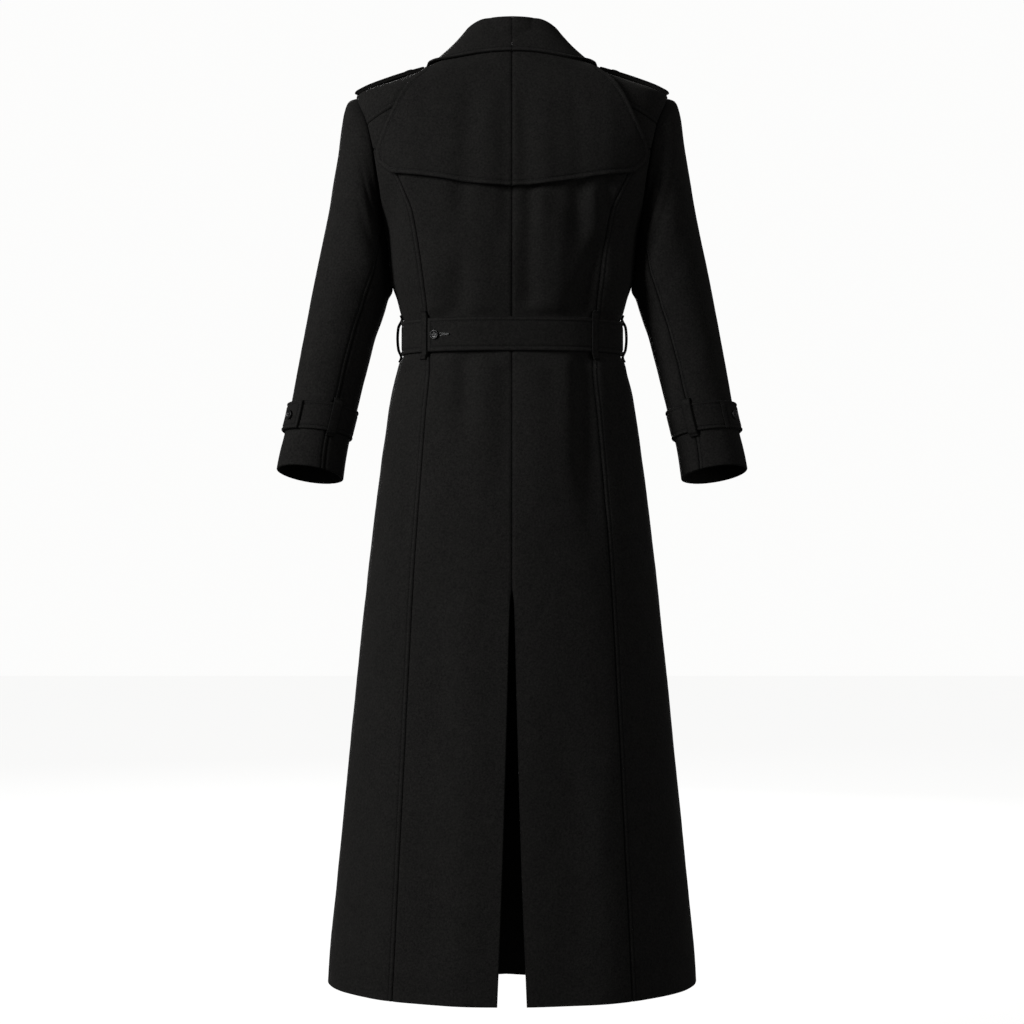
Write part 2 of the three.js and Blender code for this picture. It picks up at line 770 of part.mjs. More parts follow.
function fallInner(i, j) {
  const place = (j / fallColumns) * (collarRows.length - 1);
  const share = i / fallRows;
  const n = fallNormal(place, share);
  const facing = n[1] * awayAt(place)[1] + n[0] * awayAt(place)[0] + n[2] * 0.3 > 0 ? 1 : -1;
  const p = add(fallOuter(i, j), n, -facing * wall);
  return [Math.max(seam, p[0]), p[1], p[2]];
}

// The neckline under the roll line, from the centre back to the front
const neckLine = [
  { index: 0, x: 0.2, z: 8 },
  { index: 1, x: 36, z: 6.5 },
  { index: 2, x: 51.5, z: 4 },
];

function neckAt(share) {
  const backShare = 0.4;
  if (share <= backShare) {
    const place = (share / backShare) * 2;
    return backAt(smooth(neckLine, "index", "x")(place), smooth(neckLine, "index", "z")(place));
  }
  const edge = yokeNeckEdge(((share - backShare) / (1 - backShare)) * yokeRows);
  return bodyAt(edge.turn, edge.z);
}

const standColumns = 10;
const standTop = 0.6;
const standReach = 0.96;

function standAt(j, i, depth) {
  const side = j < standColumns ? -1 : 1;
  const share = (standReach * Math.abs(j - standColumns)) / standColumns;
  const neck = neckAt(share);
  const place = share * (collarRows.length - 1) * 0.93;
  const top = add(add(rollAt(place), awayAt(place), -(wall + 0.7)), [0, 0, 1], -standTop);
  const facing = outward(neck);
  const foot = add(neck, unit(add([0, 0, 1], facing, -facing[2])), 1.5);
  const normal = i === 0 ? facing : awayAt(place);
  const p = add(add(foot, minus(top, foot), i / 2), normal, -depth);
  return [side * Math.max(p[0], 0), p[1], p[2]];
}

function collarPieces() {
  const falls = pair("collar", fallRows, fallColumns, fallOuter, fallInner, wool);
  const outer = (i, j) => standAt(j, i, 0);
  const inner = (i, j) => standAt(j, i, wall - 0.5);
  return [...falls, cloth("collar_stand", 2, standColumns * 2, outer, inner, wool)];
}

// Sleeves
const ringIndexed = sleeveRings.map((row, index) => ({ ...row, index }));
const ringCurve = {};
for (const key of ["outX", "outZ", "inX", "inZ", "deep", "tilt", "seam"]) {
  ringCurve[key] = smooth(ringIndexed, "index", key);
}
const lastRing = sleeveRings.length - 1;

function ovalAt(ring, clock) {
  const out = [ringCurve.outX(ring), 0, ringCurve.outZ(ring)];
  const inn = [ringCurve.inX(ring), 0, ringCurve.inZ(ring)];
  const s = (1 - Math.cos(clock)) / 2;
  const p = add(out, minus(inn, out), s);
  const y = ringCurve.deep(ring) * Math.sin(clock);
  return [p[0], y, p[2] + (ringCurve.tilt(ring) * y) / ringCurve.deep(ring)];
}

function sleeveAt(ring, clock) {
  const fade = 1 - ramp(0, 4, ring);
  const start = minus(armAt(clock, 1), ovalAt(0, clock));
  return add(ovalAt(ring, clock), start, fade);
}

function sleeveNormal(ring, clock) {
  const h = 0.02;
  const a = Math.max(0, ring - h);
  const b = Math.min(lastRing, ring + h);
  const down = minus(sleeveAt(b, clock), sleeveAt(a, clock));
  const round = minus(sleeveAt(ring, clock + h), sleeveAt(ring, clock - h));
  const own = unit(cross(down, round));
  const share = ((1 + Math.cos(clock)) / 2) * ramp(1, 0, ring);
  return share > 0 ? unit(add(own, minus(outward(armAt(clock, 1)), own), share)) : own;
}

function onSleeve(ring, clock, height) {
  return add(sleeveAt(ring, clock), sleeveNormal(ring, clock), height);
}

const radians = Math.PI / 180;

function sleeveClock(piece, ring, share) {
  const hind = ringCurve.seam(ring) * radians;
  const fore = foreSeam * radians;
  const trim = mix(0.012, seam / 50, ramp(0, 4, ring));
  if (piece === "upper") return mix(fore + trim, hind - trim, share);
  return mix(hind + trim, fore + 2 * Math.PI - trim, share);
}

function sleevePieces() {
  const pieces = [];
  for (const [piece, columns] of [["upper", 11], ["under", 5]]) {
    const clock = (i, j) => sleeveClock(piece, i, j / columns);
    const outer = (i, j) => onSleeve(i, clock(i, j), 0);
    const inner = (i, j) => onSleeve(i, clock(i, j), -wall);
    pieces.push(...pair(`sleeve_${piece}`, lastRing, columns, outer, inner, wool));
  }
  return pieces;
}

// The ring on which a sleeve point has the height asked for
function ringAtHeight(z, clock) {
  let low = 6;
  let high = lastRing;
  for (let pass = 0; pass < 30; pass += 1) {
    const middle = (low + high) / 2;
    if (sleeveAt(middle, clock)[2] > z) low = middle;
    else high = middle;
  }
  return (low + high) / 2;
}

function strapMiddle(clock) {
  return strap.middle + strap.slope * (1 - Math.cos(clock)) * 0.5 + 9 * Math.sin(clock);
}

function strapPoint(clock, up, height) {
  return onSleeve(ringAtHeight(strapMiddle(clock) + up, clock), clock, height);
}

function strapLift(degrees) {
  return mix(strap.lift, strap.over, ramp(352, 378, degrees));
}

function cuffPieces() {
  const degrees = (j) => mix(strapTurn.from, strapTurn.to, j / strapTurn.columns);
  const up = (i) => (i === 0 ? strap.half : -strap.half);
  const face = (depth) => (i, j) =>
    strapPoint(degrees(j) * radians, up(i), strapLift(degrees(j)) + depth);
  const straps = pair("cuff_strap", 1, strapTurn.columns, face(strap.thick), face(0), wool);
  const last = cuffLoopRows.length - 1;
  const side = (j) => (cuffLoop.turn + (j === 0 ? -1 : 1) * (cuffLoop.half / 49 / radians)) * radians;
  const outer = (i, j) => strapPoint(side(j), cuffLoopRows[i].up, cuffLoopRows[i].out);
  const inner = (i, j) => strapPoint(side(j), cuffLoopRows[i].up, cuffLoopRows[i].out - cuffLoop.thick);
  return [...straps, ...pair("cuff_loop", last, 1, outer, inner, wool)];
}

// Belt and its loops
function beltTurnOf(x) {
  return turnOf(x, depthAt(x, belt.top, 1), belt.top);
}

// The belt passes over the raised part of the wearer's right front
function beltRise(p) {
  if (p[1] > 0) return 0;
  return lap.rise * (p[0] < 0 ? ramp(-182, -127, p[0]) : ramp(125, 88, p[0]));
}

function beltFace(depth) {
  const from = beltTurnOf(beltEnds.freeX);
  const hidden = beltTurnOf(beltEnds.hiddenX);
  const to = hidden + 2 * Math.PI;
  return (i, j) => {
    const turn = mix(from, to, j / belt.columns);
    const settled = ramp(hidden + 0.06, hidden + 0.06 + beltEnds.rampTurns, turn);
    const here = bodyAt(turn, i === 0 ? belt.top : belt.bottom);
    const height = mix(belt.over, belt.lift, settled) + beltRise(here) + depth;
    return raised(here, height);
  };
}

function loop(name, rows, half, turn, side) {
  const last = rows.length - 1;
  const at = (i, j, depth) => {
    const middle = bodyAt(turn, rows[i].z);
    const n = outward(middle);
    const along = unit([-n[1], n[0], 0]);
    const flat = unit([n[0], n[1], 0]);
    return add(add(middle, flat, rows[i].out - depth), along, j === 0 ? -half : half);
  };
  const turned = side < 0 ? mirror : (p) => p;
  return cloth(name, last, 1, (i, j) => turned(at(i, j, 0)), (i, j) => turned(at(i, j, loopThick)), wool);
}

function beltPieces() {
  const outer = beltFace(belt.thick);
  const inner = beltFace(0);
  return [
    cloth("belt", 1, belt.columns, outer, inner, wool),
    loop("back_loop_left", backLoopRows, backLoop.half, beltTurnOf(backLoop.leftX), 1),
    loop("back_loop_right", backLoopRows, backLoop.half, beltTurnOf(backLoop.rightX), -1),
    loop("side_loop_left", sideLoopRows, sideLoop.half, sideLoop.turn, 1),
    loop("side_loop_right", sideLoopRows, sideLoop.half, sideLoop.turn, -1),
  ];
}

// Height of the shoulder over a place seen from above
function topAt(x, y) {
  let low = -110;
  let high = 14;
  for (let pass = 0; pass < 40; pass += 1) {
    const middle = (low + high) / 2;
    if (swell([x, y, middle]) > 1) high = middle;
    else low = middle;
  }
  return [x, y, (low + high) / 2];
}

function epaulettePieces() {
  const place = (i, j) => topAt(mix(epaulette.from, epaulette.to, j / 5), mix(-1, 1, i / 4) * epaulette.half);
  const lift = (j) => epaulette.lift + epaulette.bow * Math.sin((Math.PI * j) / 5);
  const outer = (i, j) => raised(place(i, j), lift(j) + epaulette.thick);
  const inner = (i, j) => raised(place(i, j), lift(j));
  return pair("epaulette", 4, 5, outer, inner, wool);
}

// Button: a disc on a given spot, its axis along a given direction
function disc(name, spot, axis, size) {
  const side = unit(cross(axis, Math.abs(axis[2]) > 0.8 ? [0, 1, 0] : [0, 0, 1]));
  const other = cross(axis, side);
  const edge = 0.8;
  const rings = [
    { reach: size.radius, up: 0 },
    { reach: size.radius, up: size.thick - edge },
    { reach: size.radius - edge, up: size.thick },
  ];
  const points = [add(spot, axis, 0)];
  for (const ring of rings) {
    for (let k = 0; k < buttonSides; k += 1) {
      const turn = (k / buttonSides) * 2 * Math.PI;
      const rim = add(add(spot, side, ring.reach * Math.cos(turn)), other, ring.reach * Math.sin(turn));
      points.push(add(rim, axis, ring.up));
    }
  }
  points.push(add(spot, axis, size.thick));
  const faces = [];
  const at = (ring, k) => 1 + ring * buttonSides + (k % buttonSides);
  for (let k = 0; k < buttonSides; k += 1) {
    faces.push([0, at(0, k + 1), at(0, k)]);
    for (let ring = 0; ring < 2; ring += 1) {
      faces.push([at(ring, k), at(ring, k + 1), at(ring + 1, k + 1)]);
      faces.push([at(ring, k), at(ring + 1, k + 1), at(ring + 1, k)]);
    }
    faces.push([at(2, k), at(2, k + 1), points.length - 1]);
  }
  return solid(name, points, faces, horn);
}

function buttonPair(name, spot, axis, size) {
  return [
    disc(`${name}_left`, spot, axis, size),
    disc(`${name}_right`, mirror(spot), mirror(axis), size),
  ];
}

function buttonPieces() {
  const clock = cuffButton.turn * radians;
  const ring = ringAtHeight(strapMiddle(clock), clock);
  const cuffAxis = sleeveNormal(ring, clock);
  const cuffSpot = onSleeve(ring, clock, strap.over + strap.thick + cuffButton.off);
  const beltMiddle = (belt.top + belt.bottom) / 2;
  const onBelt = backAt(beltButton.x, beltMiddle);
  const beltSpot = raised(onBelt, belt.over + belt.thick + beltButton.off);
  const shoulder = topAt(epauletteButton.x, 0);
  const lift = epaulette.lift + epaulette.bow * 0.52 + epaulette.thick + epauletteButton.off;
  const pieces = [
    ...buttonPair("cuff_button", cuffSpot, cuffAxis, cuffButton),
    disc("belt_button", beltSpot, outward(onBelt), beltButton),
    ...buttonPair("epaulette_button", raised(shoulder, lift), outward(shoulder), epauletteButton),
  ];
  frontButtonRows.forEach((z, row) => {
    for (const side of [1, -1]) {
      const here = frontAt(side * frontButton.x, z);
      const spot = raised(here, lap.rise + (side > 0 ? frontButton.offLeft : frontButton.offRight));
      const where = side > 0 ? "left" : "right";
      pieces.push(disc(`front_button_${row + 1}_${where}`, spot, outward(here), frontButton));
    }
  });
  return pieces;
}

function yokeAndFlapPieces() {
  const [yokeOut, yokeIn] = onBody(yokePoint, () => 0, () => -wall);
  const [flapOut, flapIn] = onBody(flapPoint, flapHeight, (i) => flapHeight(i) - wall);
  return [
    ...pair("yoke", yokeRows, yokeColumns, yokeOut, yokeIn, wool),
    ...pair("storm_flap", flapRows, flapColumns, flapOut, flapIn, wool),
  ];
}

const group = new THREE.Group();
group.add(...bodyPieces());
group.add(...yokeAndFlapPieces());
group.add(...frontPieces());
group.add(...lapelPieces());
group.add(...collarPieces());
group.add(...sleevePieces());
group.add(...cuffPieces());
group.add(...beltPieces());
group.add(...epaulettePieces());
group.add(...buttonPieces());

export default group;
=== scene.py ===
import math

import bpy
import numpy as np
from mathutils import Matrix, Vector


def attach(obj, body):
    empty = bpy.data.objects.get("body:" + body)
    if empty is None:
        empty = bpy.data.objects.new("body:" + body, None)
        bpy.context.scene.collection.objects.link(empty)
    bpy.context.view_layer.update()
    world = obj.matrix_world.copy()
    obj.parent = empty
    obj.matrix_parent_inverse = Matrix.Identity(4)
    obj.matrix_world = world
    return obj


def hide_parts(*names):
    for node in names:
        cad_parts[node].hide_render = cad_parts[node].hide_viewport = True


# Sizes are in millimetres until a mesh is made. Z is up, the front faces -Y, the wearer's left is +X.
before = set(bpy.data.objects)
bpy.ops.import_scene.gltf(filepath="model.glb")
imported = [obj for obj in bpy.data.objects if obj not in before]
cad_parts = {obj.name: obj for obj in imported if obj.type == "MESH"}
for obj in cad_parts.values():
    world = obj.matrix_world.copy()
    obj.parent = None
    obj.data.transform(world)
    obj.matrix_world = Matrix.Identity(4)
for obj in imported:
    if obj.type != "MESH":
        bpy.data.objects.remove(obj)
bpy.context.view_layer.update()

MM = 0.001
WALL = 2.5
SEAM = 0.02


def table(names, rows):
    """A short table as one array for each named column."""
    return dict(zip(names.split(), np.array(rows, float).T))


# The coat's sections, seams and edges: the solids' own, but for wider back loops and tucked epaulettes
SECTIONS = table("z wide back front square", [
    (14, 50, 59, 34, 2.5), (4, 63, 64, 40, 2.6), (-9, 85, 70, 46, 2.7), (-25, 127, 76, 52, 2.8),
    (-44, 181, 84, 59, 2.8), (-57, 219, 89, 64, 2.8), (-63, 230, 91.5, 66, 2.8), (-75, 233, 96, 71, 2.8),
    (-103, 229, 104, 81, 2.8), (-141, 223, 114, 95, 2.75), (-170, 217.5, 118, 104, 2.7),
    (-208, 206.8, 120, 115, 2.65), (-242, 195.5, 120, 120, 2.6), (-262, 190, 119, 121.5, 2.5),
    (-285, 186, 117, 121, 2.45), (-343, 180, 111, 114, 2.35), (-366, 172.5, 107.5, 108, 2.3),
    (-390, 166, 103, 100, 2.25), (-399, 162, 100.5, 96.5, 2.2), (-450, 162, 101, 97, 2.2),
    (-459, 168, 104, 99.5, 2.2), (-480, 174, 108.5, 102, 2.2), (-516, 182, 115, 105, 2.2),
    (-576, 191, 125, 110, 2.15), (-621, 197, 130, 112.5, 2.15), (-666, 203, 135, 115, 2.15),
    (-816, 220, 148, 125, 2.1), (-966, 236, 160, 135, 2.1), (-1116, 251, 172, 142, 2.1),
    (-1266, 265.5, 183, 148, 2.1), (-1341, 273, 188, 150.5, 2.1), (-1410, 277, 192, 152, 2.1),
])
LEVELS = np.array([
    -112, -131, -150, -166, -184, -203, -222, -238, -249, -255, -257, -285, -315, -343, -366, -390,
    -399, -425, -450, -459, -485, -520, -575, -645, -740, -860, -980, -1100, -1220, -1330, -1385,
], float)
ARMHOLE = {"mid": -160, "tall": 97, "deep": 62}
PRINCESS_TOP = -150
PRINCESS = table("z x", [
    (-150, 202), (-165, 191), (-180, 178.5), (-195, 168), (-214, 158.6), (-245, 146.1), (-283, 138.7),
    (-343, 130.3), (-386, 124.8), (-425, 122.2), (-462, 121.4), (-550, 128.1), (-682, 137.8),
    (-839, 146.7), (-1123, 160.1), (-1371, 172.1), (-1410, 174),
])
BACK_TOP = table("across top", [
    (0, 8), (0.084, 8), (0.168, 6.5), (0.243, 4), (0.35, -22), (0.457, -44), (0.564, -61), (0.672, -75),
    (0.784, -88), (0.896, -100), (1, -112),
])
YOKE_FROM = 0.243
BACK_SETTLES = -330
VENT_TOP = -800
VENT = table("z half", [
    (-700, 0.02), (-790, 0.02), (-812, 2.6), (-953, 6.4), (-1094, 10.3), (-1235, 14.9), (-1385, 21),
])
FRONT_NECK = {"turn": -0.92, "z": -10}
FRONT_ARM = -85
FRONT_SETTLES = -340
LAP = {"x": -80, "break": -250, "rise": 4.2}
FRONT_DIP = 28
SLEEVE = table("outX outZ inX inZ deep tilt seam", [
    (230, -64, 190.6, -256, 61, 0, 152), (243, -69, 191.2, -262, 62, 0, 155),
    (250, -84, 189.8, -272, 63, 0, 152), (255, -108, 187.3, -288, 64, 0, 145),
    (260, -146, 185.4, -308, 65, 0, 137), (268, -193, 183.3, -330, 65, 1, 130),
    (276, -240, 182.4, -350, 64, 2, 125.5), (285, -285, 188, -373, 62, 3, 123),
    (295, -333, 195.6, -398, 59.5, 4, 122), (305.5, -388, 207.6, -434, 56.5, 6, 121),
    (317, -448, 221, -484, 53, 8, 120), (325, -492, 230, -521, 50, 9, 120),
    (330, -520, 236, -545, 48.5, 10, 119), (335, -545, 241.5, -567, 47.5, 10.5, 118),
    (341, -568, 246.5, -588, 47, 11, 118), (348, -596, 250.5, -612, 46.5, 11.5, 119),
    (353, -621, 253.5, -634.5, 46, 12, 121),
])
LAST_RING = 16
FORE_SEAM = math.radians(-130)
COLLAR = table("rx ry rz ex ey ez", [
    (0, 58, 46, 0, 77, -8.5), (38, 54, 45, 44, 76, -10.3), (62, 43, 36, 82, 70, -14.8),
    (72.5, 25, 27, 108, 56, -19), (77, 5, 18, 124, 22, -20), (75, -20, 6, 126, -20, -29),
    (62, -44, -4, 124, -52, -57), (48, -61, -26, 104, -74, -88),
])
COLLAR_LAST = 7
COLLAR_CLEAR = 8.6
ROLL_CLEAR = 3.8
FLAP_TOP = table("x z", [(0, 0), (44, -3), (90, -17), (128, -34)])
FLAP_SIDE = table("x z", [
    (128, -34), (149, -53), (164, -73), (175.5, -96), (187.5, -122), (194.5, -141), (197.5, -156),
    (194.5, -169), (188, -177),
])
FLAP_BOTTOM = table("x z", [
    (0, -212.7), (34, -210.8), (68, -206.5), (119, -197.5), (150, -192.5), (174.5, -188), (181, -183.5),
    (188, -177),
])
UNDER_FLAP = 1.6
FLAP_LIFT = 1.4
FLAP_STAND = 2.2
FLAP_TOP_LIFT = 1.4
LAPEL_TOP = {"inner": -42, "tip_x": 128, "tip_z": -118}
LAPEL_LEFT = {"inner_x": 4, "inner_z": -104, "outer_x": 37, "outer_z": -174}
LAPEL_RIGHT = {"inner_x": -75, "inner_z": -243, "outer_x": -64, "outer_z": -247}
LAPEL_LIFT = 1.5
BELT = {"top": -399.5, "bottom": -449.5, "thick": 2.4, "lift": 1.0, "over": 4.0}
BELT_ENDS = {"free_x": 120.7, "hidden_x": 62, "ramp": 0.3}
LOOP_THICK = 2
BACK_LOOP = {"left_x": 125.5, "right_x": 119.5, "half": 4.9}
BACK_LOOP_ROWS = table("z out", [
    (-389.5, 2.4), (-392.5, 2.7), (-396, 5.8), (-401, 6.4), (-425, 6.6), (-448, 6.4), (-453.5, 5.8),
    (-457, 2.7), (-460, 2.4),
])
SIDE_LOOP_HALF = 2.5
SIDE_LOOP_ROWS = table("z out", [
    (-389.5, 2.4), (-394, 3.0), (-399, 6.3), (-408, 10.4), (-424, 11.6), (-440, 10.4), (-450, 6.5),
    (-456, 3.2), (-459.5, 2.4),
])
STRAP = {"middle": -545, "half": 20.5, "slope": -9, "thick": 2.2, "lift": 0.9, "over": 4.0}
STRAP_TURN = {"from": 20, "to": 421}
CUFF_LOOP = {"turn": 119, "half": 6.5, "thick": 1.8, "sleeve": 49}
CUFF_LOOP_ROWS = table("up out", [
    (28, 2.9), (25, 3.3), (21.5, 6.0), (0, 6.4), (-21.5, 6.0), (-25, 3.3), (-28, 2.9),
])
EPAULETTE = {"from": 137, "tuck": 8, "to": 229, "half": 20, "lift": 3.85, "bow": 2.5, "thick": 3}
CUFF_BUTTON = {"turn": 38, "radius": 7, "thick": 3, "off": 0.5}
BELT_BUTTON = {"x": 110, "radius": 6.5, "thick": 3, "off": 0.5}
EPAULETTE_BUTTON = {"x": 152, "radius": 7, "thick": 3, "off": 0.9}
FRONT_BUTTON = {"x": 55, "radius": 11, "thick": 3.5, "left": 0, "right": 0.5}
FRONT_BUTTON_ROWS = (-310, -520, -650)

# Main creases, placed one by one: x and z at both ends, half width, depth (a ridge is below 0)
BACK_FOLDS = [
    (173, -180, 176, -300, 10, 3.0), (155, -230, 150, -345, 12, -1.5), (74, -196, 70, -285, 12, 3.4),
    (9, -198, 4, -310, 11, 3.4), (-27, -200, -24, -385, 11, 3.4), (-42, -215, -44, -394, 12, -2.2),
    (-66, -225, -66, -394, 12, -2.2), (-93, -200, -101, -340, 12, 4.8), (-117, -212, -120, -300, 9, -2.2),
    (-141, -190, -140, -290, 9, 3.2), (-136, -258, -100, -398, 12, 7.2), (-152, -300, -142, -396, 9, -2.0),
    (118, -296, 116, -397, 10, -2.2), (74, -300, 82, -398, 12, 3.8), (42, -240, 50, -396, 15, -1.8),
    (70, -452, 66, -610, 13, 4.4), (46, -462, 40, -760, 20, -2.2), (8, -470, 12, -690, 14, 1.8),
    (-34, -470, -38, -760, 24, -2.4), (-78, -460, -84, -700, 16, -2.4), (-105, -450, -120, -760, 16, 8.2),
    (-150, -470, -160, -700, 16, 3.0), (146, -462, 158, -820, 16, 3.2), (172, -560, 190, -1000, 16, -2.4),
    (104, -640, 124, -1390, 26, 2.6), (60, -700, 74, -1390, 26, -2.6), (-70, -780, -86, -1390, 30, 3.0),
    (-128, -900, -136, -1390, 22, -2.2), (-196, -760, -214, -1390, 22, 3.0), (206, -860, 226, -1390, 20, 2.8),
]
FLAP_FOLDS = [
    (146, -40, 150, -398, 14, -1.1), (66, -40, 66, -398, 13, 1.9), (34, -40, 34, -398, 12, -1.5),
    (9, -40, 8, -398, 8, 1.1), (-18, -40, -18, -398, 9, 1.4), (-48, -40, -50, -398, 12, -1.8),
    (-94, -40, -97, -398, 13, 1.7), (-140, -40, -142, -398, 12, -1.0),
]
FRONT_FOLDS = [
    (150, -220, 132, -398, 12, 3.4), (112, -280, 106, -398, 12, -2.0), (84, -300, 84, -398, 11, 2.8),
    (-146, -220, -128, -398, 12, 3.8), (-112, -290, -104, -398, 11, -2.0), (-30, -300, -34, -398, 13, 2.2),
    (112, -452, 128, -760, 16, 5.2), (84, -456, 84, -700, 14, -2.2), (36, -452, 34, -640, 14, 2.8),
    (-112, -452, -130, -720, 15, 4.6), (-30, -452, -34, -620, 14, 3.0), (160, -470, 178, -900, 16, 2.8),
    (-164, -470, -184, -860, 16, 2.8), (120, -700, 140, -1440, 26, 2.6), (30, -760, 34, -1440, 28, -2.4),
    (-110, -740, -130, -1440, 26, 2.8), (-30, -820, -36, -1440, 26, 2.0), (196, -760, 220, -1440, 22, 3.0),
]
FOLD_HELD = 10
FOLD_DEEP = 1.25
FOLD_WIDE = 1.25
FLAP_HOLDS = -216
BELT_HOLDS = (-475, -440, -402, -380)
HEM_FREE = -1300

# Sleeve creases: ring, turn in degrees, slant, half height in rings, depth
SLEEVE_FOLDS = [
    (3.4, 128, 1.3, 0.42, 2.2), (4.6, 100, 0.9, 0.5, 1.3), (2.9, -120, -1.3, 0.45, 1.8),
    (7.6, 118, 0.6, 0.38, 1.3), (8.8, 112, -0.7, 0.42, 1.4), (9.9, 100, 0.5, 0.4, 1.0),
    (8.1, -130, -0.5, 0.4, 1.6), (9.2, -135, 0.5, 0.38, 1.4), (6.2, 60, 0.7, 0.5, 0.9),
]
STRAP_STITCH = 5
BELT_STITCH = 6.5
FLAP_STITCH = 6.6
FLAP_STITCH_TOP = -36

# Seams and stitches: how wide and deep they draw the cloth in, and how far in from the edge
SEAM_DIP = 1.3
SEAM_HALF = 2.6
STITCH_IN = 6.0
STITCH_DEEP = 0.85
STITCH_HALF = 1.15

# Topstitching: short threads laid in the groove
THREAD = {"long": 2.7, "pitch": 3.5, "half": 0.3, "up": -0.05}

# The belt's buttonhole: its place, half length, half width of slit and eye, thread and steps round it
HOLE = {"x": 97.0, "half": 8.5, "slit": 1.0, "eye": 1.6, "thread": 0.75, "steps": 72}

# How far the cloth at a seam runs on behind its neighbour, so that no light shows through the seam
TURNED_UNDER = 7
SIDE_ALLOWANCE = np.array([-2.5, 3.0, 0])
SLEEVE_ALLOWANCE = {"inward": np.array([-6.0, 0, 0]), "behind": 1.6}

# How far the sleeve's cloth swells to close the armpit
ARMPIT_FILL = 1.2

# Buttons: a dished disc with a rim, four holes and the thread that holds it. Reach is a share of the
# radius and rise a share of the thickness, from the middle of the face round the rim to the back
BUTTON = table("reach rise", [
    (0.02, 0.56), (0.1, 0.56), (0.16, 0.56), (0.22, 0.56), (0.28, 0.56), (0.34, 0.56), (0.42, 0.56),
    (0.5, 0.56), (0.58, 0.56), (0.64, 0.6), (0.7, 0.72), (0.76, 0.86), (0.84, 0.97), (0.92, 1.0),
    (0.97, 0.95), (1.0, 0.7), (0.985, 0.3), (0.93, 0.06), (0.6, 0), (0.02, 0),
])
BUTTON_FACE = 10
BUTTON_TURNS = 48
BUTTON_HOLE = {"off": 0.22, "wide": 0.12, "deep": 0.42}


def curve(at, value):
    """Smooth curve through a table without overshoot between its rows."""
    order = np.argsort(at)
    t, v = np.asarray(at, float)[order], np.asarray(value, float)[order]
    rise = np.diff(v) / np.diff(t)
    slope = np.empty_like(v)
    slope[0], slope[-1] = rise[0], rise[-1]
    a, b = rise[:-1], rise[1:]
    same = a * b > 0
    slope[1:-1] = np.where(same, 2 * a * b / np.where(same, a + b, 1), 0)

    def read(x):
        x = np.clip(np.asarray(x, float), t[0], t[-1])
        i = np.clip(np.searchsorted(t, x, side="right") - 1, 0, len(t) - 2)
        step = t[i + 1] - t[i]
        s = (x - t[i]) / step
        keep = v[i] * (1 + 2 * s) * (1 - s) ** 2 + v[i + 1] * s * s * (3 - 2 * s)
        return keep + step * (slope[i] * s * (1 - s) ** 2 + slope[i + 1] * s * s * (s - 1))

    return read


def by_row(rows, key):
    return curve(np.arange(len(rows[key])), rows[key])


wide = curve(SECTIONS["z"], SECTIONS["wide"])
back = curve(SECTIONS["z"], SECTIONS["back"])
front = curve(SECTIONS["z"], SECTIONS["front"])
square = curve(SECTIONS["z"], SECTIONS["square"])
princess_x = curve(PRINCESS["z"], PRINCESS["x"])
vent_half = curve(VENT["z"], VENT["half"])
back_top = curve(BACK_TOP["across"], BACK_TOP["top"])


def mix(p, q, s):
    return p + (q - p) * s


def ramp(start, end, at):
    s = np.clip((at - start) / (end - start), 0, 1)
    return s * s * (3 - 2 * s)


def bump(distance, half):
    return np.exp(-(distance / half) ** 2)


def point(x, y, z):
    return np.stack(np.broadcast_arrays(x, y, z), axis=-1).astype(float)


def unit(p):
    return p / np.maximum(np.linalg.norm(p, axis=-1, keepdims=True), 1e-9)


def body_at(turn, z):
    """The coat's body: turn 0 is the side seam, a quarter turn is the centre back."""
    turn, z = np.broadcast_arrays(turn, z)
    depth = np.where(np.sin(turn) > 0, back(z), front(z))
    angle = np.arctan2(depth * np.sin(turn), wide(z) * np.cos(turn))
    n = square(z)
    size = np.abs(np.cos(angle) / wide(z)) ** n + np.abs(np.sin(angle) / depth) ** n
    reach = size ** (-1 / n)
    return point(reach * np.cos(angle), reach * np.sin(angle), z)


def turn_of(x, y, z):
    return np.arctan2(y / np.where(np.asarray(y) > 0, back(z), front(z)), x / wide(z))


def depth_at(x, z, side):
    depth = back(z) if side > 0 else front(z)
    n = square(z)
    return side * depth * np.maximum(0, 1 - np.abs(x / wide(z)) ** n) ** (1 / n)


def across_at(y, z):
    depth = np.where(np.asarray(y) > 0, back(z), front(z))
    n = square(z)
    return wide(z) * np.maximum(0, 1 - np.abs(y / depth) ** n) ** (1 / n)


def back_at(x, z):
    return point(x, depth_at(x, z, 1), z)


def front_at(x, z):
    return point(x, depth_at(x, z, -1), z)


def swell(p):
    """Size of the section through a point against the coat's own: 1 on it, more outside it."""
    x, y, z = p[..., 0], p[..., 1], p[..., 2]
    depth = np.where(y > 0, back(z), front(z))
    n = square(z)
    return (np.abs(x / wide(z)) ** n + np.abs(y / depth) ** n) ** (1 / n)


def steep(p):
    h = 0.4
    steps = np.eye(3) * h
    return np.stack([(swell(p + s) - swell(p - s)) / (2 * h) for s in steps], axis=-1)


def outward(p):
    return unit(steep(p))


def raised(p, height):
    return p + outward(p) * np.asarray(height)[..., None]


def clear_of(p, height):
    """Points pushed out until they stand clear of the coat."""
    for _ in range(4):
        slope = steep(p)
        off = (swell(p) - 1) / np.linalg.norm(slope, axis=-1)
        p = p + unit(slope) * np.maximum(0, height - off)[..., None]
    return p


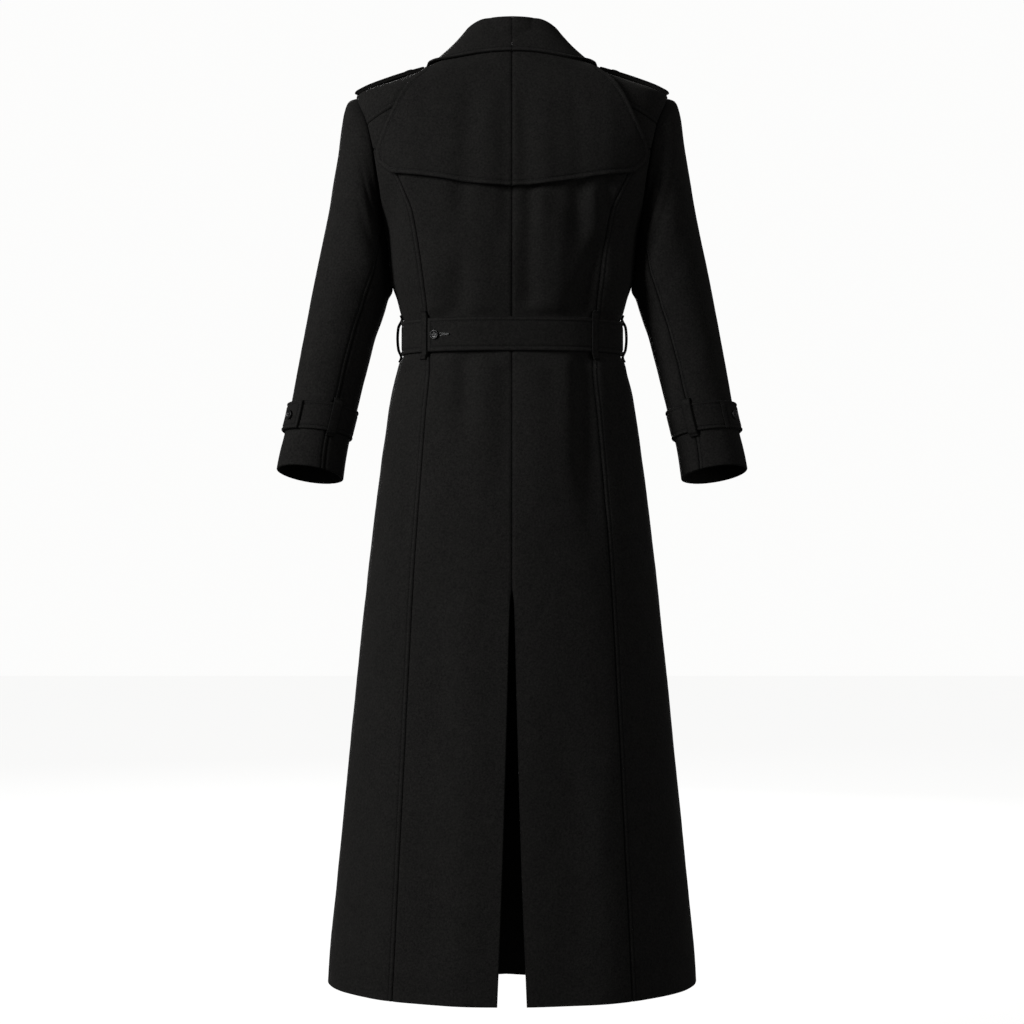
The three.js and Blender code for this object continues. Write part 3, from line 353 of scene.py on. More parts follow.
def noise(p, size, seed):
    """Smooth random relief from -1 to 1 with lumps of a given size, the same on each run."""
    q = p / np.asarray(size, float) + seed * 17.13
    cell = np.floor(q).astype(np.int64)
    f = q - cell
    f = f * f * f * (f * (f * 6 - 15) + 10)
    total = 0
    for corner in range(8):
        step = np.array([corner & 1, corner >> 1 & 1, corner >> 2 & 1])
        c = cell + step
        h = c[..., 0] * 73856093 ^ c[..., 1] * 19349663 ^ c[..., 2] * 83492791 ^ seed * 2654435
        h = (h ^ h >> 13) * 1274126177 & 0x7FFFFFFF
        value = (h ^ h >> 15) % 65521 / 32760.0 - 1
        total = total + value * np.prod(np.where(step == 1, f, 1 - f), axis=-1)
    return total


def creases(p, rows):
    """How far the listed creases draw the cloth in at each place, from x and z."""
    deep = np.zeros(p.shape[:-1])
    x, z = p[..., 0], p[..., 2]
    for top_x, top_z, low_x, low_z, half, depth in rows:
        long = top_z - low_z
        along = (top_z - z) / long
        sway = 0.14 * half * np.sin(z / 37.0 + top_x)
        off = (x + sway - mix(top_x, low_x, along)) / (FOLD_WIDE * half * (0.85 + 0.3 * np.clip(along, 0, 1)))
        top_ends = FOLD_HELD if top_z > FLAP_HOLDS or BELT_HOLDS[0] < top_z < BELT_HOLDS[1] else 0.5 * long
        low_ends = FOLD_HELD if BELT_HOLDS[2] < low_z < BELT_HOLDS[3] or low_z < HEM_FREE else 0.6 * long
        fade = ramp(top_z + 4, top_z - top_ends, z) * ramp(low_z - 4, low_z + low_ends, z)
        deep += FOLD_DEEP * depth * fade * np.exp(-off * off)
    return deep


def settle(p):
    """Soft unevenness of thick wool cloth, in millimetres, none where a sleeve lies against the side."""
    held = bump(p[..., 1], 32) * bump(np.abs(p[..., 0]) - 186, 12) * ramp(-400, -345, p[..., 2])
    uneven = 0.6 * noise(p, (46, 46, 110), 3) + 0.3 * noise(p, (19, 19, 34), 5) + 0.1 * noise(p, 9, 7)
    return uneven * (1 - held)


# Meshes
scene = bpy.context.scene
materials = {}


def mesh_object(name, points, faces, material, smooth=True):
    mesh = bpy.data.meshes.new(name)
    mesh.from_pydata((np.asarray(points) * MM).tolist(), [], faces)
    mesh.validate()
    mesh.polygons.foreach_set("use_smooth", [smooth] * len(mesh.polygons))
    mesh.materials.append(materials[material])
    made = bpy.data.objects.new(name, mesh)
    scene.collection.objects.link(made)
    return made


def ride_as(made, node=None):
    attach(made, "root")
    if node:
        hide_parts(node)
    return made


def shell_faces(rows, columns):
    """Quads of a closed cloth from an outer and an inner grid of points."""
    at = np.arange(rows * columns).reshape(rows, columns)
    a, b, c, d = at[:-1, :-1], at[1:, :-1], at[1:, 1:], at[:-1, 1:]
    outer = np.stack([a, b, c, d], axis=-1).reshape(-1, 4)
    inner = outer[:, ::-1] + rows * columns
    rim = np.concatenate([at[0, :], at[1:, -1], at[-1, -2::-1], at[-2:0:-1, 0]])
    after = np.roll(rim, -1)
    n = rows * columns
    side = np.stack([rim, after, after + n, rim + n], axis=-1)
    return np.concatenate([outer, inner, side])


def volume(points, faces):
    a, b, c, d = (points[faces[:, k]] for k in range(4))
    six = (a * np.cross(b, c)).sum() + (a * np.cross(c, d)).sum()
    return six


def normals(grid, facing):
    """Unit normals of a grid of points, on the side that facing points to."""
    down = np.gradient(grid, axis=0)
    along = np.gradient(grid, axis=1)
    n = unit(np.cross(along, down))
    sign = np.where((n * facing).sum(axis=-1, keepdims=True) < 0, -1, 1)
    return n * sign


def run_along(line):
    """Distance of each point of a line from its first."""
    return np.concatenate([[0], np.cumsum(np.linalg.norm(np.diff(line, axis=0), axis=-1))])


def lengths(grid, axis):
    """Distance of each point from the first along its row or column, and the whole length."""
    step = np.linalg.norm(np.diff(grid, axis=axis), axis=-1)
    run = np.cumsum(step, axis=axis)
    zero = np.zeros_like(np.take(run, [0], axis=axis))
    run = np.concatenate([zero, run], axis=axis)
    return run, np.take(run, [-1], axis=axis)


# Where grid lines lie near an edge, so that it rounds and takes its stitching
NEAR = np.array([0, 0.25, 0.6, 1.1, 1.8, 2.8, 4.2, 5.3, 6, 6.7, 7.8, 10, 13.5])
FINE = np.array([0, 0.25, 0.6, 1.1, 1.8, 2.8, 4.2])


def shares(width, first, last, step):
    """Places across a width from 0 to 1: close together near both ends, even between them."""
    width = np.asarray(width, float)
    scale = np.minimum(1, 0.44 * width / max(first[-1], last[-1]))
    a = first[None, :] * scale[:, None] / width[:, None]
    b = 1 - last[None, ::-1] * scale[:, None] / width[:, None]
    count = max(2, int(round((np.max(width) - first[-1] - last[-1]) / step)))
    s = np.arange(1, count)[None, :] / count
    between = mix(a[:, -1:], b[:, :1], s)
    return np.concatenate([a, between, b], axis=1)


def grid_of(surface, first, last, top, bottom, step_across, step_down):
    """A grid of points on a surface given by u across and v down, both from 0 to 1."""
    v = np.linspace(0, 1, 400)
    middle = surface(np.full_like(v, 0.5), v)
    run = run_along(middle)
    places = shares(run[-1:], top, bottom, step_down)[0]
    rows = np.interp(places * run[-1], run, v)
    u = np.linspace(0, 1, 60)
    coarse = surface(u[None, :] + 0 * rows[:, None], rows[:, None] + 0 * u[None, :])
    length = np.concatenate([
        np.zeros((len(rows), 1)),
        np.cumsum(np.linalg.norm(np.diff(coarse, axis=1), axis=-1), axis=1),
    ], axis=1)
    share = shares(np.maximum(length[:, -1], 4), first, last, step_across)
    uu = np.stack([np.interp(s * l[-1], l, u) for s, l in zip(share, length)])
    vv = np.broadcast_to(rows[:, None], uu.shape)
    return surface(uu, vv), uu, vv


def round_edge(distance, radius):
    """How far a turned edge rolls in near its rim."""
    d = np.clip(distance, 0, radius)
    return radius - np.sqrt(np.maximum(0, radius ** 2 - (radius - d) ** 2))


def seam(distance, stitch=None):
    """A pressed seam as its relief and its tone, with a line of topstitching beside it if there is one. The
    tone is painted shade: a dark line along the seam.
    """
    relief = -round_edge(distance, 1.1) - SEAM_DIP * bump(distance, SEAM_HALF)
    made = np.stack([relief, -0.5 * bump(distance, 1.6)])
    return made + (stitching(distance, stitch) if stitch else 0)


def stitching(distance, stitch):
    """The relief and tone of a stitched groove, with the cloth puffed up to the edge. The tone is painted
    shade in the groove and a painted highlight on the puffed band.
    """
    puffed = bump(distance - stitch * 0.5, stitch * 0.3)
    groove = bump(distance - stitch, STITCH_HALF)
    return np.stack([0.4 * puffed - STITCH_DEEP * groove, 0.22 * puffed - 0.45 * groove])


def free_edge(distance, stitch=None):
    """A turned edge that lies over other cloth: rounded, with painted shade where it turns under."""
    made = np.stack([-round_edge(distance, 1.25), -0.85 * bump(distance, 1.1)])
    return made + (stitching(distance, stitch) if stitch else 0)


def edge_distances(grid):
    right, width = lengths(grid, 1)
    down, height = lengths(grid, 0)
    return {"first": right, "last": width - right, "top": down, "bottom": height - down}


def shell(name, grid, out, relief, lines, thick, inner_relief=None, inner_shift=0):
    """A thin closed cloth: the outer face with its relief, and the inner face a wall behind it."""
    relief = relief + lines[0]
    outer = grid + out * relief[..., None]
    behind = -thick + (relief * 0.7 if inner_relief is None else inner_relief)
    inner = grid + out * behind[..., None] + inner_shift
    points = np.concatenate([outer.reshape(-1, 3), inner.reshape(-1, 3)])
    faces = shell_faces(*grid.shape[:2])
    if volume(points, faces) < 0:
        faces = faces[:, ::-1]
    made = mesh_object(f"cloth_{name}", points, faces.tolist(), "wool")
    # The tone attribute holds painted shade in seams, grooves and under turned edges, and a painted highlight
    # on puffed bands, on the outer face only.
    tone = made.data.attributes.new("tone", "FLOAT", "POINT")
    tone.data.foreach_set("value", np.concatenate([lines[1].ravel(), 0 * lines[1].ravel()]))
    ride_as(made, name)
    return made, outer


def as_made(p):
    return p


def mirrored(p):
    return p * np.array([-1.0, 1.0, 1.0])


SIDES = ((1, "left", as_made), (-1, "right", mirrored))


def resample(line, pitch):
    run = run_along(line)
    count = max(2, int(run[-1] / pitch))
    at = np.linspace(0, run[-1], count + 1)
    return np.stack([np.interp(at, run, line[:, k]) for k in range(3)], axis=-1)


def tube_faces(start, rings, sides, closed=False):
    """Faces of a tube whose rings of points follow one another from a first point on."""
    faces = []
    for k in range(rings if closed else rings - 1):
        i, j = start + k * sides, start + (k + 1) % rings * sides
        for e in range(sides):
            f = (e + 1) % sides
            faces.append((i + e, i + f, j + f, j + e))
    if not closed:
        last = start + (rings - 1) * sides
        faces.append(tuple(range(start + sides - 1, start - 1, -1)))
        faces.append(tuple(range(last, last + sides)))
    return faces


def stitches(name, lines, face, out):
    """Threads along lines of points on a face with the given normals."""
    spots, facings = face.reshape(-1, 3), out.reshape(-1, 3)
    points, faces = [], []
    start = 0
    for line in lines:
        knots = resample(np.asarray(line), THREAD["pitch"])
        a, b = knots[:-1], knots[1:]
        along = unit(b - a)
        middle = (a + b) / 2
        up = facings[[((q - spots) ** 2).sum(axis=-1).argmin() for q in middle]]
        up = unit(up - along * (up * along).sum(axis=-1, keepdims=True))
        side = np.cross(along, up)
        half = THREAD["long"] / 2
        rows = []
        for reach, size in ((-1, 0.35), (-0.62, 1), (0.62, 1), (1, 0.35)):
            for s, h in ((-1, -0.4), (-0.6, 0.75), (0.6, 0.75), (1, -0.4)):
                lift = THREAD["up"] * size + h * THREAD["half"] * size
                rows.append(middle + along * reach * half + side * s * THREAD["half"] * size + up * lift)
        block = np.stack(rows, axis=1)
        for tube in block:
            points.append(tube)
            faces += tube_faces(start, 4, 4)
            start += len(tube)
    made = mesh_object(name, np.concatenate(points), faces, "thread")
    return ride_as(made)


def line_at(outer, distance, value):
    """The line on a face where a distance from an edge has a value, one point for each row."""
    found = []
    for p, d in zip(outer, distance):
        order = np.argsort(d)
        if d[order[-1]] < value * 1.6:
            continue
        found.append([np.interp(value, d[order], p[order, k]) for k in range(3)])
    return np.array(found)


# Armholes and the body's panels
def arm_at(clock, shrink):
    z = ARMHOLE["mid"] + (ARMHOLE["tall"] - shrink) * np.cos(clock)
    y = (ARMHOLE["deep"] - shrink) * np.sin(clock)
    return point(across_at(y, z), y, z)


def arm_edge(z, side):
    s = np.clip((z - ARMHOLE["mid"]) / (ARMHOLE["tall"] + SEAM), -1, 1)
    y = side * (ARMHOLE["deep"] + SEAM) * np.sqrt(1 - s * s)
    return point(across_at(y, z), y, z)


def level_at(v, top=None):
    rows = LEVELS if top is None else np.concatenate([[top], LEVELS])
    return np.interp(v * (len(rows) - 1), np.arange(len(rows)), rows)


def back_outer(z):
    return np.where(z > PRINCESS_TOP + 1, arm_edge(z, 1)[..., 0], princess_x(z) - SEAM)


def back_surface(u, v):
    level = level_at(v)
    hold = np.maximum(0, (level - BACK_SETTLES) / (LEVELS[0] - BACK_SETTLES))
    z = level + (back_top(u) - LEVELS[0]) * hold
    x = mix(vent_half(z), back_outer(level), u)
    return back_at(x, z)


ARM_BOTTOM = ARMHOLE["mid"] - ARMHOLE["tall"]


def side_back_surface(u, v):
    rows = LEVELS[LEVELS <= PRINCESS_TOP]
    z = np.interp(v * (len(rows) - 1), np.arange(len(rows)), rows)
    inner_x = princess_x(z) + SEAM
    arm = arm_edge(z, 1)
    start = turn_of(inner_x, depth_at(inner_x, z, 1), z)
    above = turn_of(arm[..., 0], arm[..., 1], z)
    end = np.where(z >= ARM_BOTTOM, above, SEAM / back(z))
    return body_at(mix(start, end, u), z)


def front_top(share):
    return mix(FRONT_NECK["z"], FRONT_ARM, share)


def break_x(z):
    start = body_at(FRONT_NECK["turn"], FRONT_NECK["z"])[..., 0]
    s = np.minimum(1, (FRONT_NECK["z"] - z) / (FRONT_NECK["z"] - LAP["break"]))
    return mix(start, LAP["x"], s)


def front_surface(u, v):
    level = level_at(v, FRONT_ARM)
    hold = np.maximum(0, (level - FRONT_SETTLES) / (FRONT_ARM - FRONT_SETTLES))
    dip = FRONT_DIP * (1 - u) * ramp(-1085, -1385, level)
    z = level + (front_top(u) - FRONT_ARM) * hold - dip
    edge_z = level + (front_top(0) - FRONT_ARM) * hold
    edge = front_at(break_x(edge_z), edge_z)
    start = turn_of(edge[..., 0], edge[..., 1], edge_z)
    arm = arm_edge(level, -1)
    above = turn_of(arm[..., 0], arm[..., 1], level)
    end = np.where(level >= ARM_BOTTOM, above, -SEAM / front(level))
    return body_at(mix(start, end, u), z)


def lap_rise(p):
    return LAP["rise"] * ramp(170, 115, p[..., 0]) * ramp(-50, -112, p[..., 2])


def rim_of_flap():
    """The flap's free edge as a line in x and z, from the centre back round to its upper end."""
    s = np.linspace(0, 1, 60)
    side_x, side_z = table_line(FLAP_SIDE, s)
    low_x, low_z = table_line(FLAP_BOTTOM, s)
    return np.concatenate([low_x, side_x[::-1][1:]]), np.concatenate([low_z, side_z[::-1][1:]])


def under_flap(p):
    """How far the cloth under the flap's edge is pressed in along it."""
    rim_x, rim_z = rim_of_flap()
    near = distance_to_line(np.abs(p[..., 0]), p[..., 2], rim_x, rim_z)
    return np.where(p[..., 1] > 0, UNDER_FLAP * bump(near, 3.2), 0)


def laid_out(surface, turned, *spacing):
    """A piece's form: its grid as made and on its own side, edge distances, normals, and u and v."""
    grid, u, v = grid_of(surface, *spacing)
    return grid, turned(grid), edge_distances(grid), turned(outward(grid)), u, v


def back_panel(where, turned):
    grid, real, d, out = laid_out(back_surface, turned, NEAR, NEAR, FINE, NEAR, 5, 5)[:4]
    h = -creases(real, BACK_FOLDS) + settle(real) - under_flap(real)
    open_vent = ramp(VENT_TOP, VENT_TOP - 25, grid[..., 2])
    lines = mix(seam(d["first"]), free_edge(d["first"]), open_vent)
    lines = lines + seam(d["last"]) + seam(d["top"]) + free_edge(d["bottom"])
    made = shell(f"back_{where}", real, out, h, lines, WALL)[0]


def side_back_panel(where, turned):
    _, real, d, out = laid_out(side_back_surface, turned, NEAR, FINE, FINE, NEAR, 5, 5)[:4]
    h = -creases(real, BACK_FOLDS) + settle(real) - under_flap(real)
    lines = seam(d["first"], STITCH_IN) + seam(d["last"]) + seam(d["top"]) + free_edge(d["bottom"])
    made, outer = shell(f"side_back_{where}", real, out, h, lines, WALL)
    stitches(f"stitching_princess_{where}", [line_at(outer, d["first"], STITCH_IN)], outer, out)


def front_panel(side, where, turned):
    grid, real, d, out = laid_out(front_surface, turned, NEAR, FINE, FINE, NEAR, 6, 6)[:4]
    rise = lap_rise(grid) if side < 0 else 0
    h = rise + settle(real) - creases(real, FRONT_FOLDS) * ramp(0, 14, d["first"])
    lines = free_edge(d["first"], STITCH_IN) + seam(d["last"]) + seam(d["top"]) + free_edge(d["bottom"])
    under = ramp(TURNED_UNDER, 0, d["last"]) * ramp(ARM_BOTTOM, ARM_BOTTOM - 10, grid[..., 2])
    made, outer = shell(f"front_{where}", real, out, h, lines, WALL, inner_relief=rise + 0 * h,
                        inner_shift=under[..., None] * turned(SIDE_ALLOWANCE))
    stitches(f"stitching_front_{where}", [line_at(outer, d["first"], STITCH_IN)], outer, out)


def body_pieces():
    for side, where, turned in SIDES:
        back_panel(where, turned)
        side_back_panel(where, turned)
        front_panel(side, where, turned)


# Yoke over the shoulder
def yoke_back_edge(s):
    share = mix(YOKE_FROM, 1, s)
    top = back_top(share)
    x = mix(vent_half(top), arm_edge(LEVELS[0], 1)[..., 0], share)
    p = back_at(x, top + SEAM)
    return turn_of(p[..., 0], p[..., 1], p[..., 2]), p[..., 2]


def yoke_front_edge(s):
    arm = arm_edge(FRONT_ARM, -1)
    turn = turn_of(arm[..., 0], arm[..., 1], arm[..., 2])
    return mix(FRONT_NECK["turn"], turn, s) + 0.004, front_top(s) + SEAM


def yoke_arm_edge(v):
    start = math.acos((LEVELS[0] + SEAM - ARMHOLE["mid"]) / ARMHOLE["tall"])
    end = -math.acos((FRONT_ARM + SEAM - ARMHOLE["mid"]) / ARMHOLE["tall"])
    p = arm_at(mix(start, end, v), -SEAM)
    return turn_of(p[..., 0], p[..., 1], p[..., 2]), p[..., 2]


def yoke_surface(u, v):
    found = []
    for k in (0, 1):
        neck = mix(yoke_back_edge(0 * v)[k], yoke_front_edge(0 * v)[k], v)
        across = mix(neck, yoke_arm_edge(v)[k], u)
        along = mix(yoke_back_edge(u)[k], yoke_front_edge(u)[k], v)
        near = mix(yoke_back_edge(0 * u)[k], yoke_back_edge(0 * u + 1)[k], u)
        far = mix(yoke_front_edge(0 * u)[k], yoke_front_edge(0 * u + 1)[k], u)
        found.append(across + along - mix(near, far, v))
    return body_at(*found)


def yoke_pieces():
    for _, where, turned in SIDES:
        _, real, d, out = laid_out(yoke_surface, turned, FINE, FINE, NEAR, NEAR, 4, 4)[:4]
        h = 0.5 * settle(real) - under_flap(real)
        lines = seam(d["top"], STITCH_IN) + seam(d["bottom"], STITCH_IN) + seam(d["first"]) + seam(d["last"])
        made, outer = shell(f"yoke_{where}", real, out, h, lines, WALL)
        lines = [line_at(np.swapaxes(outer, 0, 1), d[k].T, STITCH_IN) for k in ("top", "bottom")]
        stitches(f"stitching_yoke_{where}", lines, outer, out)


# Storm flap
def table_line(rows, s):
    place = s * (len(rows["x"]) - 1)
    return by_row(rows, "x")(place), by_row(rows, "z")(place)


def flap_chart(u, v):
    found = []
    for k in (0, 1):
        key = "xz"[k]
        top, bottom = table_line(FLAP_TOP, u)[k], table_line(FLAP_BOTTOM, u)[k]
        side = table_line(FLAP_SIDE, v)[k]
        middle = mix(FLAP_TOP[key][0], FLAP_BOTTOM[key][0], v)
        across = mix(middle, side, u)
        along = mix(top, bottom, v)
        near = mix(FLAP_TOP[key][0], FLAP_TOP[key][-1], u)
        far = mix(FLAP_BOTTOM[key][0], FLAP_BOTTOM[key][-1], u)
        found.append(across + along - mix(near, far, v))
    return np.maximum(0, found[0]), found[1]


def flap_surface(u, v):
    return back_at(*flap_chart(u, v))


def flap_height(v):
    return FLAP_LIFT + WALL + FLAP_STAND * ramp(0.55, 1, v) + FLAP_TOP_LIFT * ramp(0.4, 0.1, v)


def distance_to_line(x, z, line_x, line_z):
    """Distance in the x, z plane from each place to a polyline."""
    best = np.full(x.shape, 1e9)
    for ax, az, bx, bz in zip(line_x[:-1], line_z[:-1], line_x[1:], line_z[1:]):
        ex, ez = bx - ax, bz - az
        t = np.clip(((x - ax) * ex + (z - az) * ez) / (ex * ex + ez * ez + 1e-12), 0, 1)
        best = np.minimum(best, np.hypot(x - ax - t * ex, z - az - t * ez))
    return best


def inside_rim(rim_x, rim_z):
    """The flap's stitch line, inside its free edge, as points on the coat's form."""
    along_x, along_z = np.gradient(rim_x), np.gradient(rim_z)
    size = np.hypot(along_x, along_z)
    in_x = rim_x - along_z / size * FLAP_STITCH
    in_z = rim_z + along_x / size * FLAP_STITCH
    keep = in_z < FLAP_STITCH_TOP
    return back_at(np.maximum(in_x[keep], 0.5), in_z[keep])


def flap_pieces():
    rim_x, rim_z = rim_of_flap()
    stitch_line = inside_rim(rim_x, rim_z)
    for _, where, turned in SIDES:
        grid, real, d, out, _, v = laid_out(flap_surface, turned, FINE, NEAR, FINE, NEAR, 3.4, 3.4)
        rim = distance_to_line(grid[..., 0], grid[..., 2], rim_x, rim_z)
        h = 0.7 * settle(real + 300) - creases(real, FLAP_FOLDS) * ramp(-40, -110, real[..., 2])
        lines = seam(d["first"]) + free_edge(rim, FLAP_STITCH)
        base = raised(grid, flap_height(v))
        made, outer = shell(f"storm_flap_{where}", turned(base), out, h, lines, WALL,
                            inner_relief=round_edge(rim, 1.2) + 0 * h)
        apart = grid.reshape(-1, 3)[None] - stitch_line[:, None]
        near = (apart ** 2).sum(axis=-1).argmin(axis=1)
        line = outer.reshape(-1, 3)[near]
        stitches(f"stitching_storm_flap_{where}", [line], outer, out)


# Sleeves
ring = {key: by_row(SLEEVE, key) for key in SLEEVE}


def oval_at(at, clock):
    out = point(ring["outX"](at), 0, ring["outZ"](at))
    inn = point(ring["inX"](at), 0, ring["inZ"](at))
    p = out + (inn - out) * ((1 - np.cos(clock)) / 2)[..., None]
    y = ring["deep"](at) * np.sin(clock)
    return point(p[..., 0], y, p[..., 2] + ring["tilt"](at) * np.sin(clock))


def sleeve_at(at, clock):
    at, clock = np.broadcast_arrays(np.asarray(at, float), clock)
    fade = 1 - ramp(0, 4, at)
    start = arm_at(clock, 1) - oval_at(0 * at, clock)
    return oval_at(at, clock) + start * fade[..., None]


def sleeve_normal(at, clock):
    h = 0.02
    at, clock = np.broadcast_arrays(np.asarray(at, float), clock)
    down = sleeve_at(np.minimum(LAST_RING, at + h), clock) - sleeve_at(np.maximum(0, at - h), clock)
    around = sleeve_at(at, clock + h) - sleeve_at(at, clock - h)
    own = unit(np.cross(down, around))
    share = (1 + np.cos(clock)) / 2 * ramp(1, 0, at)
    return unit(own + (outward(arm_at(clock, 1)) - own) * share[..., None])


def sleeve_clock(piece, at, share):
    hind = np.radians(ring["seam"](at))
    trim = mix(0.012, SEAM / 50, ramp(0, 4, at))
    if piece == "upper":
        return mix(FORE_SEAM + trim, hind - trim, share)
    return mix(hind + trim, FORE_SEAM + 2 * math.pi - trim, share)


def sleeve_creases(at, clock):
    """Soft creases drawn across the crook of the elbow and up to the armhole."""
    deep = 0
    for middle, where, slant, half, depth in SLEEVE_FOLDS:
        off = np.arctan2(np.sin(clock - math.radians(where)), np.cos(clock - math.radians(where)))
        deep = deep + depth * bump(at - middle - slant * off, half) * bump(off, 0.75)
    return deep


def against_body(p, at, clock):
    """How far the sleeve's inner side swells out to lie flat against the coat's side."""
    gap = p[..., 0] - across_at(p[..., 1], p[..., 2]) - 0.3
    near = ramp(32, 13, np.abs(p[..., 1])) * ramp(0.2, 0.9, at) * ramp(6.7, 5.7, at)
    return np.where(np.cos(clock) < 0, near * np.clip(gap, 0, 8), 0)


def sleeve_pieces():
    for _, where, turned in SIDES:
        for piece, first, last in (("upper", FINE, NEAR), ("under", NEAR, FINE)):
            def surface(u, v):
                return sleeve_at(v * LAST_RING, sleeve_clock(piece, v * LAST_RING, u))
            grid, u, v = grid_of(surface, first, last, FINE, NEAR, 4.5, 4.5)
            at = v * LAST_RING
            clock = sleeve_clock(piece, at, u)
            out = sleeve_normal(at, clock)
            d = edge_distances(grid)
            real = turned(grid)
            far = ramp(0, 40, d["top"])
            h = (settle(real) - sleeve_creases(at, clock)) * far + against_body(grid, at, clock)
            stitch = STITCH_IN if piece == "upper" else None
            armpit = ramp(-0.5, -0.85, np.cos(clock))
            lines = seam(d["first"]) + seam(d["last"], stitch) + free_edge(d["bottom"])
            lines = lines + seam(d["top"]) * (1 - armpit)
            h = h + ARMPIT_FILL * bump(d["top"], 4) * armpit
            under = ramp(TURNED_UNDER, 0, d["top"])
            behind = turned(SLEEVE_ALLOWANCE["inward"]) - turned(out) * SLEEVE_ALLOWANCE["behind"]
            made, outer = shell(f"sleeve_{piece}_{where}", real, turned(out), h, lines, WALL,
                                inner_shift=under[..., None] * behind)
            if piece == "upper":
                line = line_at(outer, d["last"], STITCH_IN)
                stitches(f"stitching_sleeve_{where}", [line], outer, turned(out))


def ring_at_height(z, clock):
    low, high = np.full(np.shape(clock), 6.0), np.full(np.shape(clock), float(LAST_RING))
    for _ in range(30):
        middle = (low + high) / 2
        above = sleeve_at(middle, clock)[..., 2] > z
        low, high = np.where(above, middle, low), np.where(above, high, middle)
    return (low + high) / 2


def strap_middle(clock):
    return STRAP["middle"] + STRAP["slope"] * (1 - np.cos(clock)) * 0.5 + 9 * np.sin(clock)


def strap_parts(clock, up):
    at = ring_at_height(strap_middle(clock) + up, clock)
    return sleeve_at(at, clock), sleeve_normal(at, clock)


def strap_lift(degrees):
    return mix(STRAP["lift"], STRAP["over"], ramp(352, 378, degrees))


def lines_inside(outer, d, inset, keys):
    """Stitch lines on a face at one distance inside each of its named edges, ended where they meet."""
    lines = []
    for key in keys:
        across = key in ("top", "bottom")
        face = np.swapaxes(outer, 0, 1) if across else outer
        distance = d[key].T if across else d[key]
        line = line_at(face, distance, inset)
        ends = [k for k in ("first", "last") if k in keys] if across else []
        run = run_along(line)
        keep = np.ones(len(line), bool)
        if "first" in ends:
            keep &= run > inset
        if "last" in ends:
            keep &= run < run[-1] - inset
        if not across:
            keep &= (run > inset) & (run < run[-1] - inset)
        lines.append(line[keep])
    return lines


def band(name, where, grid, out, lift, thick, stitch, keys, fill=0):
    """A double strip with turned edges, such as a belt or a strap, topstitched inside its edges."""
    d = edge_distances(grid)
    rim = np.minimum.reduce([d[k] for k in ("first", "last", "top", "bottom")])
    # The rim's tone is painted shade along the band's turned edges.
    lines = np.stack([-round_edge(rim, thick * 0.48), -0.85 * bump(rim, 1.2)])
    if keys:
        lines = lines + stitching(np.minimum.reduce([d[k] for k in keys]), stitch)
    base = grid + out * np.asarray(lift)[..., None]
    title = f"{name}_{where}" if where else name
    under = round_edge(rim, thick * 0.48) - fill * ramp(1, 6, rim)
    made, outer = shell(title, base, out, thick + 0 * rim, lines, thick, inner_relief=under)
    return outer, d


def cuff_pieces():
    for _, where, turned in SIDES:

        def surface(u, v):
            clock = np.radians(mix(STRAP_TURN["from"], STRAP_TURN["to"], u))
            return strap_parts(clock, mix(STRAP["half"], -STRAP["half"], v))[0]

        _, u, v = grid_of(surface, NEAR, NEAR, NEAR, NEAR, 5, 4)
        degrees = mix(STRAP_TURN["from"], STRAP_TURN["to"], u)
        p, n = strap_parts(np.radians(degrees), mix(STRAP["half"], -STRAP["half"], v))
        outer, d = band("cuff_strap", where, turned(p), turned(n), strap_lift(degrees), STRAP["thick"],
                        STRAP_STITCH, ("top", "bottom", "last"))
        lines = lines_inside(outer, d, STRAP_STITCH, ("top", "bottom", "last"))
        stitches(f"stitching_cuff_strap_{where}", lines, outer, turned(n))
        half_turn = CUFF_LOOP["half"] / CUFF_LOOP["sleeve"]
        rows = {k: by_row(CUFF_LOOP_ROWS, k) for k in CUFF_LOOP_ROWS}
        last = len(CUFF_LOOP_ROWS["up"]) - 1
        middle = math.radians(CUFF_LOOP["turn"])

        def loop_surface(u, v):
            p, n = strap_parts(middle + mix(-half_turn, half_turn, u), rows["up"](v * last))
            return p + n * rows["out"](v * last)[..., None]

        grid, u, v = grid_of(loop_surface, FINE, FINE, FINE, FINE, 2, 1.6)
        n = strap_parts(middle + mix(-half_turn, half_turn, u), rows["up"](v * last))[1]
        band("cuff_loop", where, turned(grid - n * CUFF_LOOP["thick"]), turned(n), 0 * u, CUFF_LOOP["thick"],
             0, ())


# Belt and its loops
def belt_turn_of(x):
    return turn_of(x, depth_at(x, BELT["top"], 1), BELT["top"])


def belt_rise(p):
    x = p[..., 0]
    rise = LAP["rise"] * np.where(x < 0, ramp(-182, -127, x), ramp(125, 88, x))
    return np.where(p[..., 1] > 0, 0, rise)


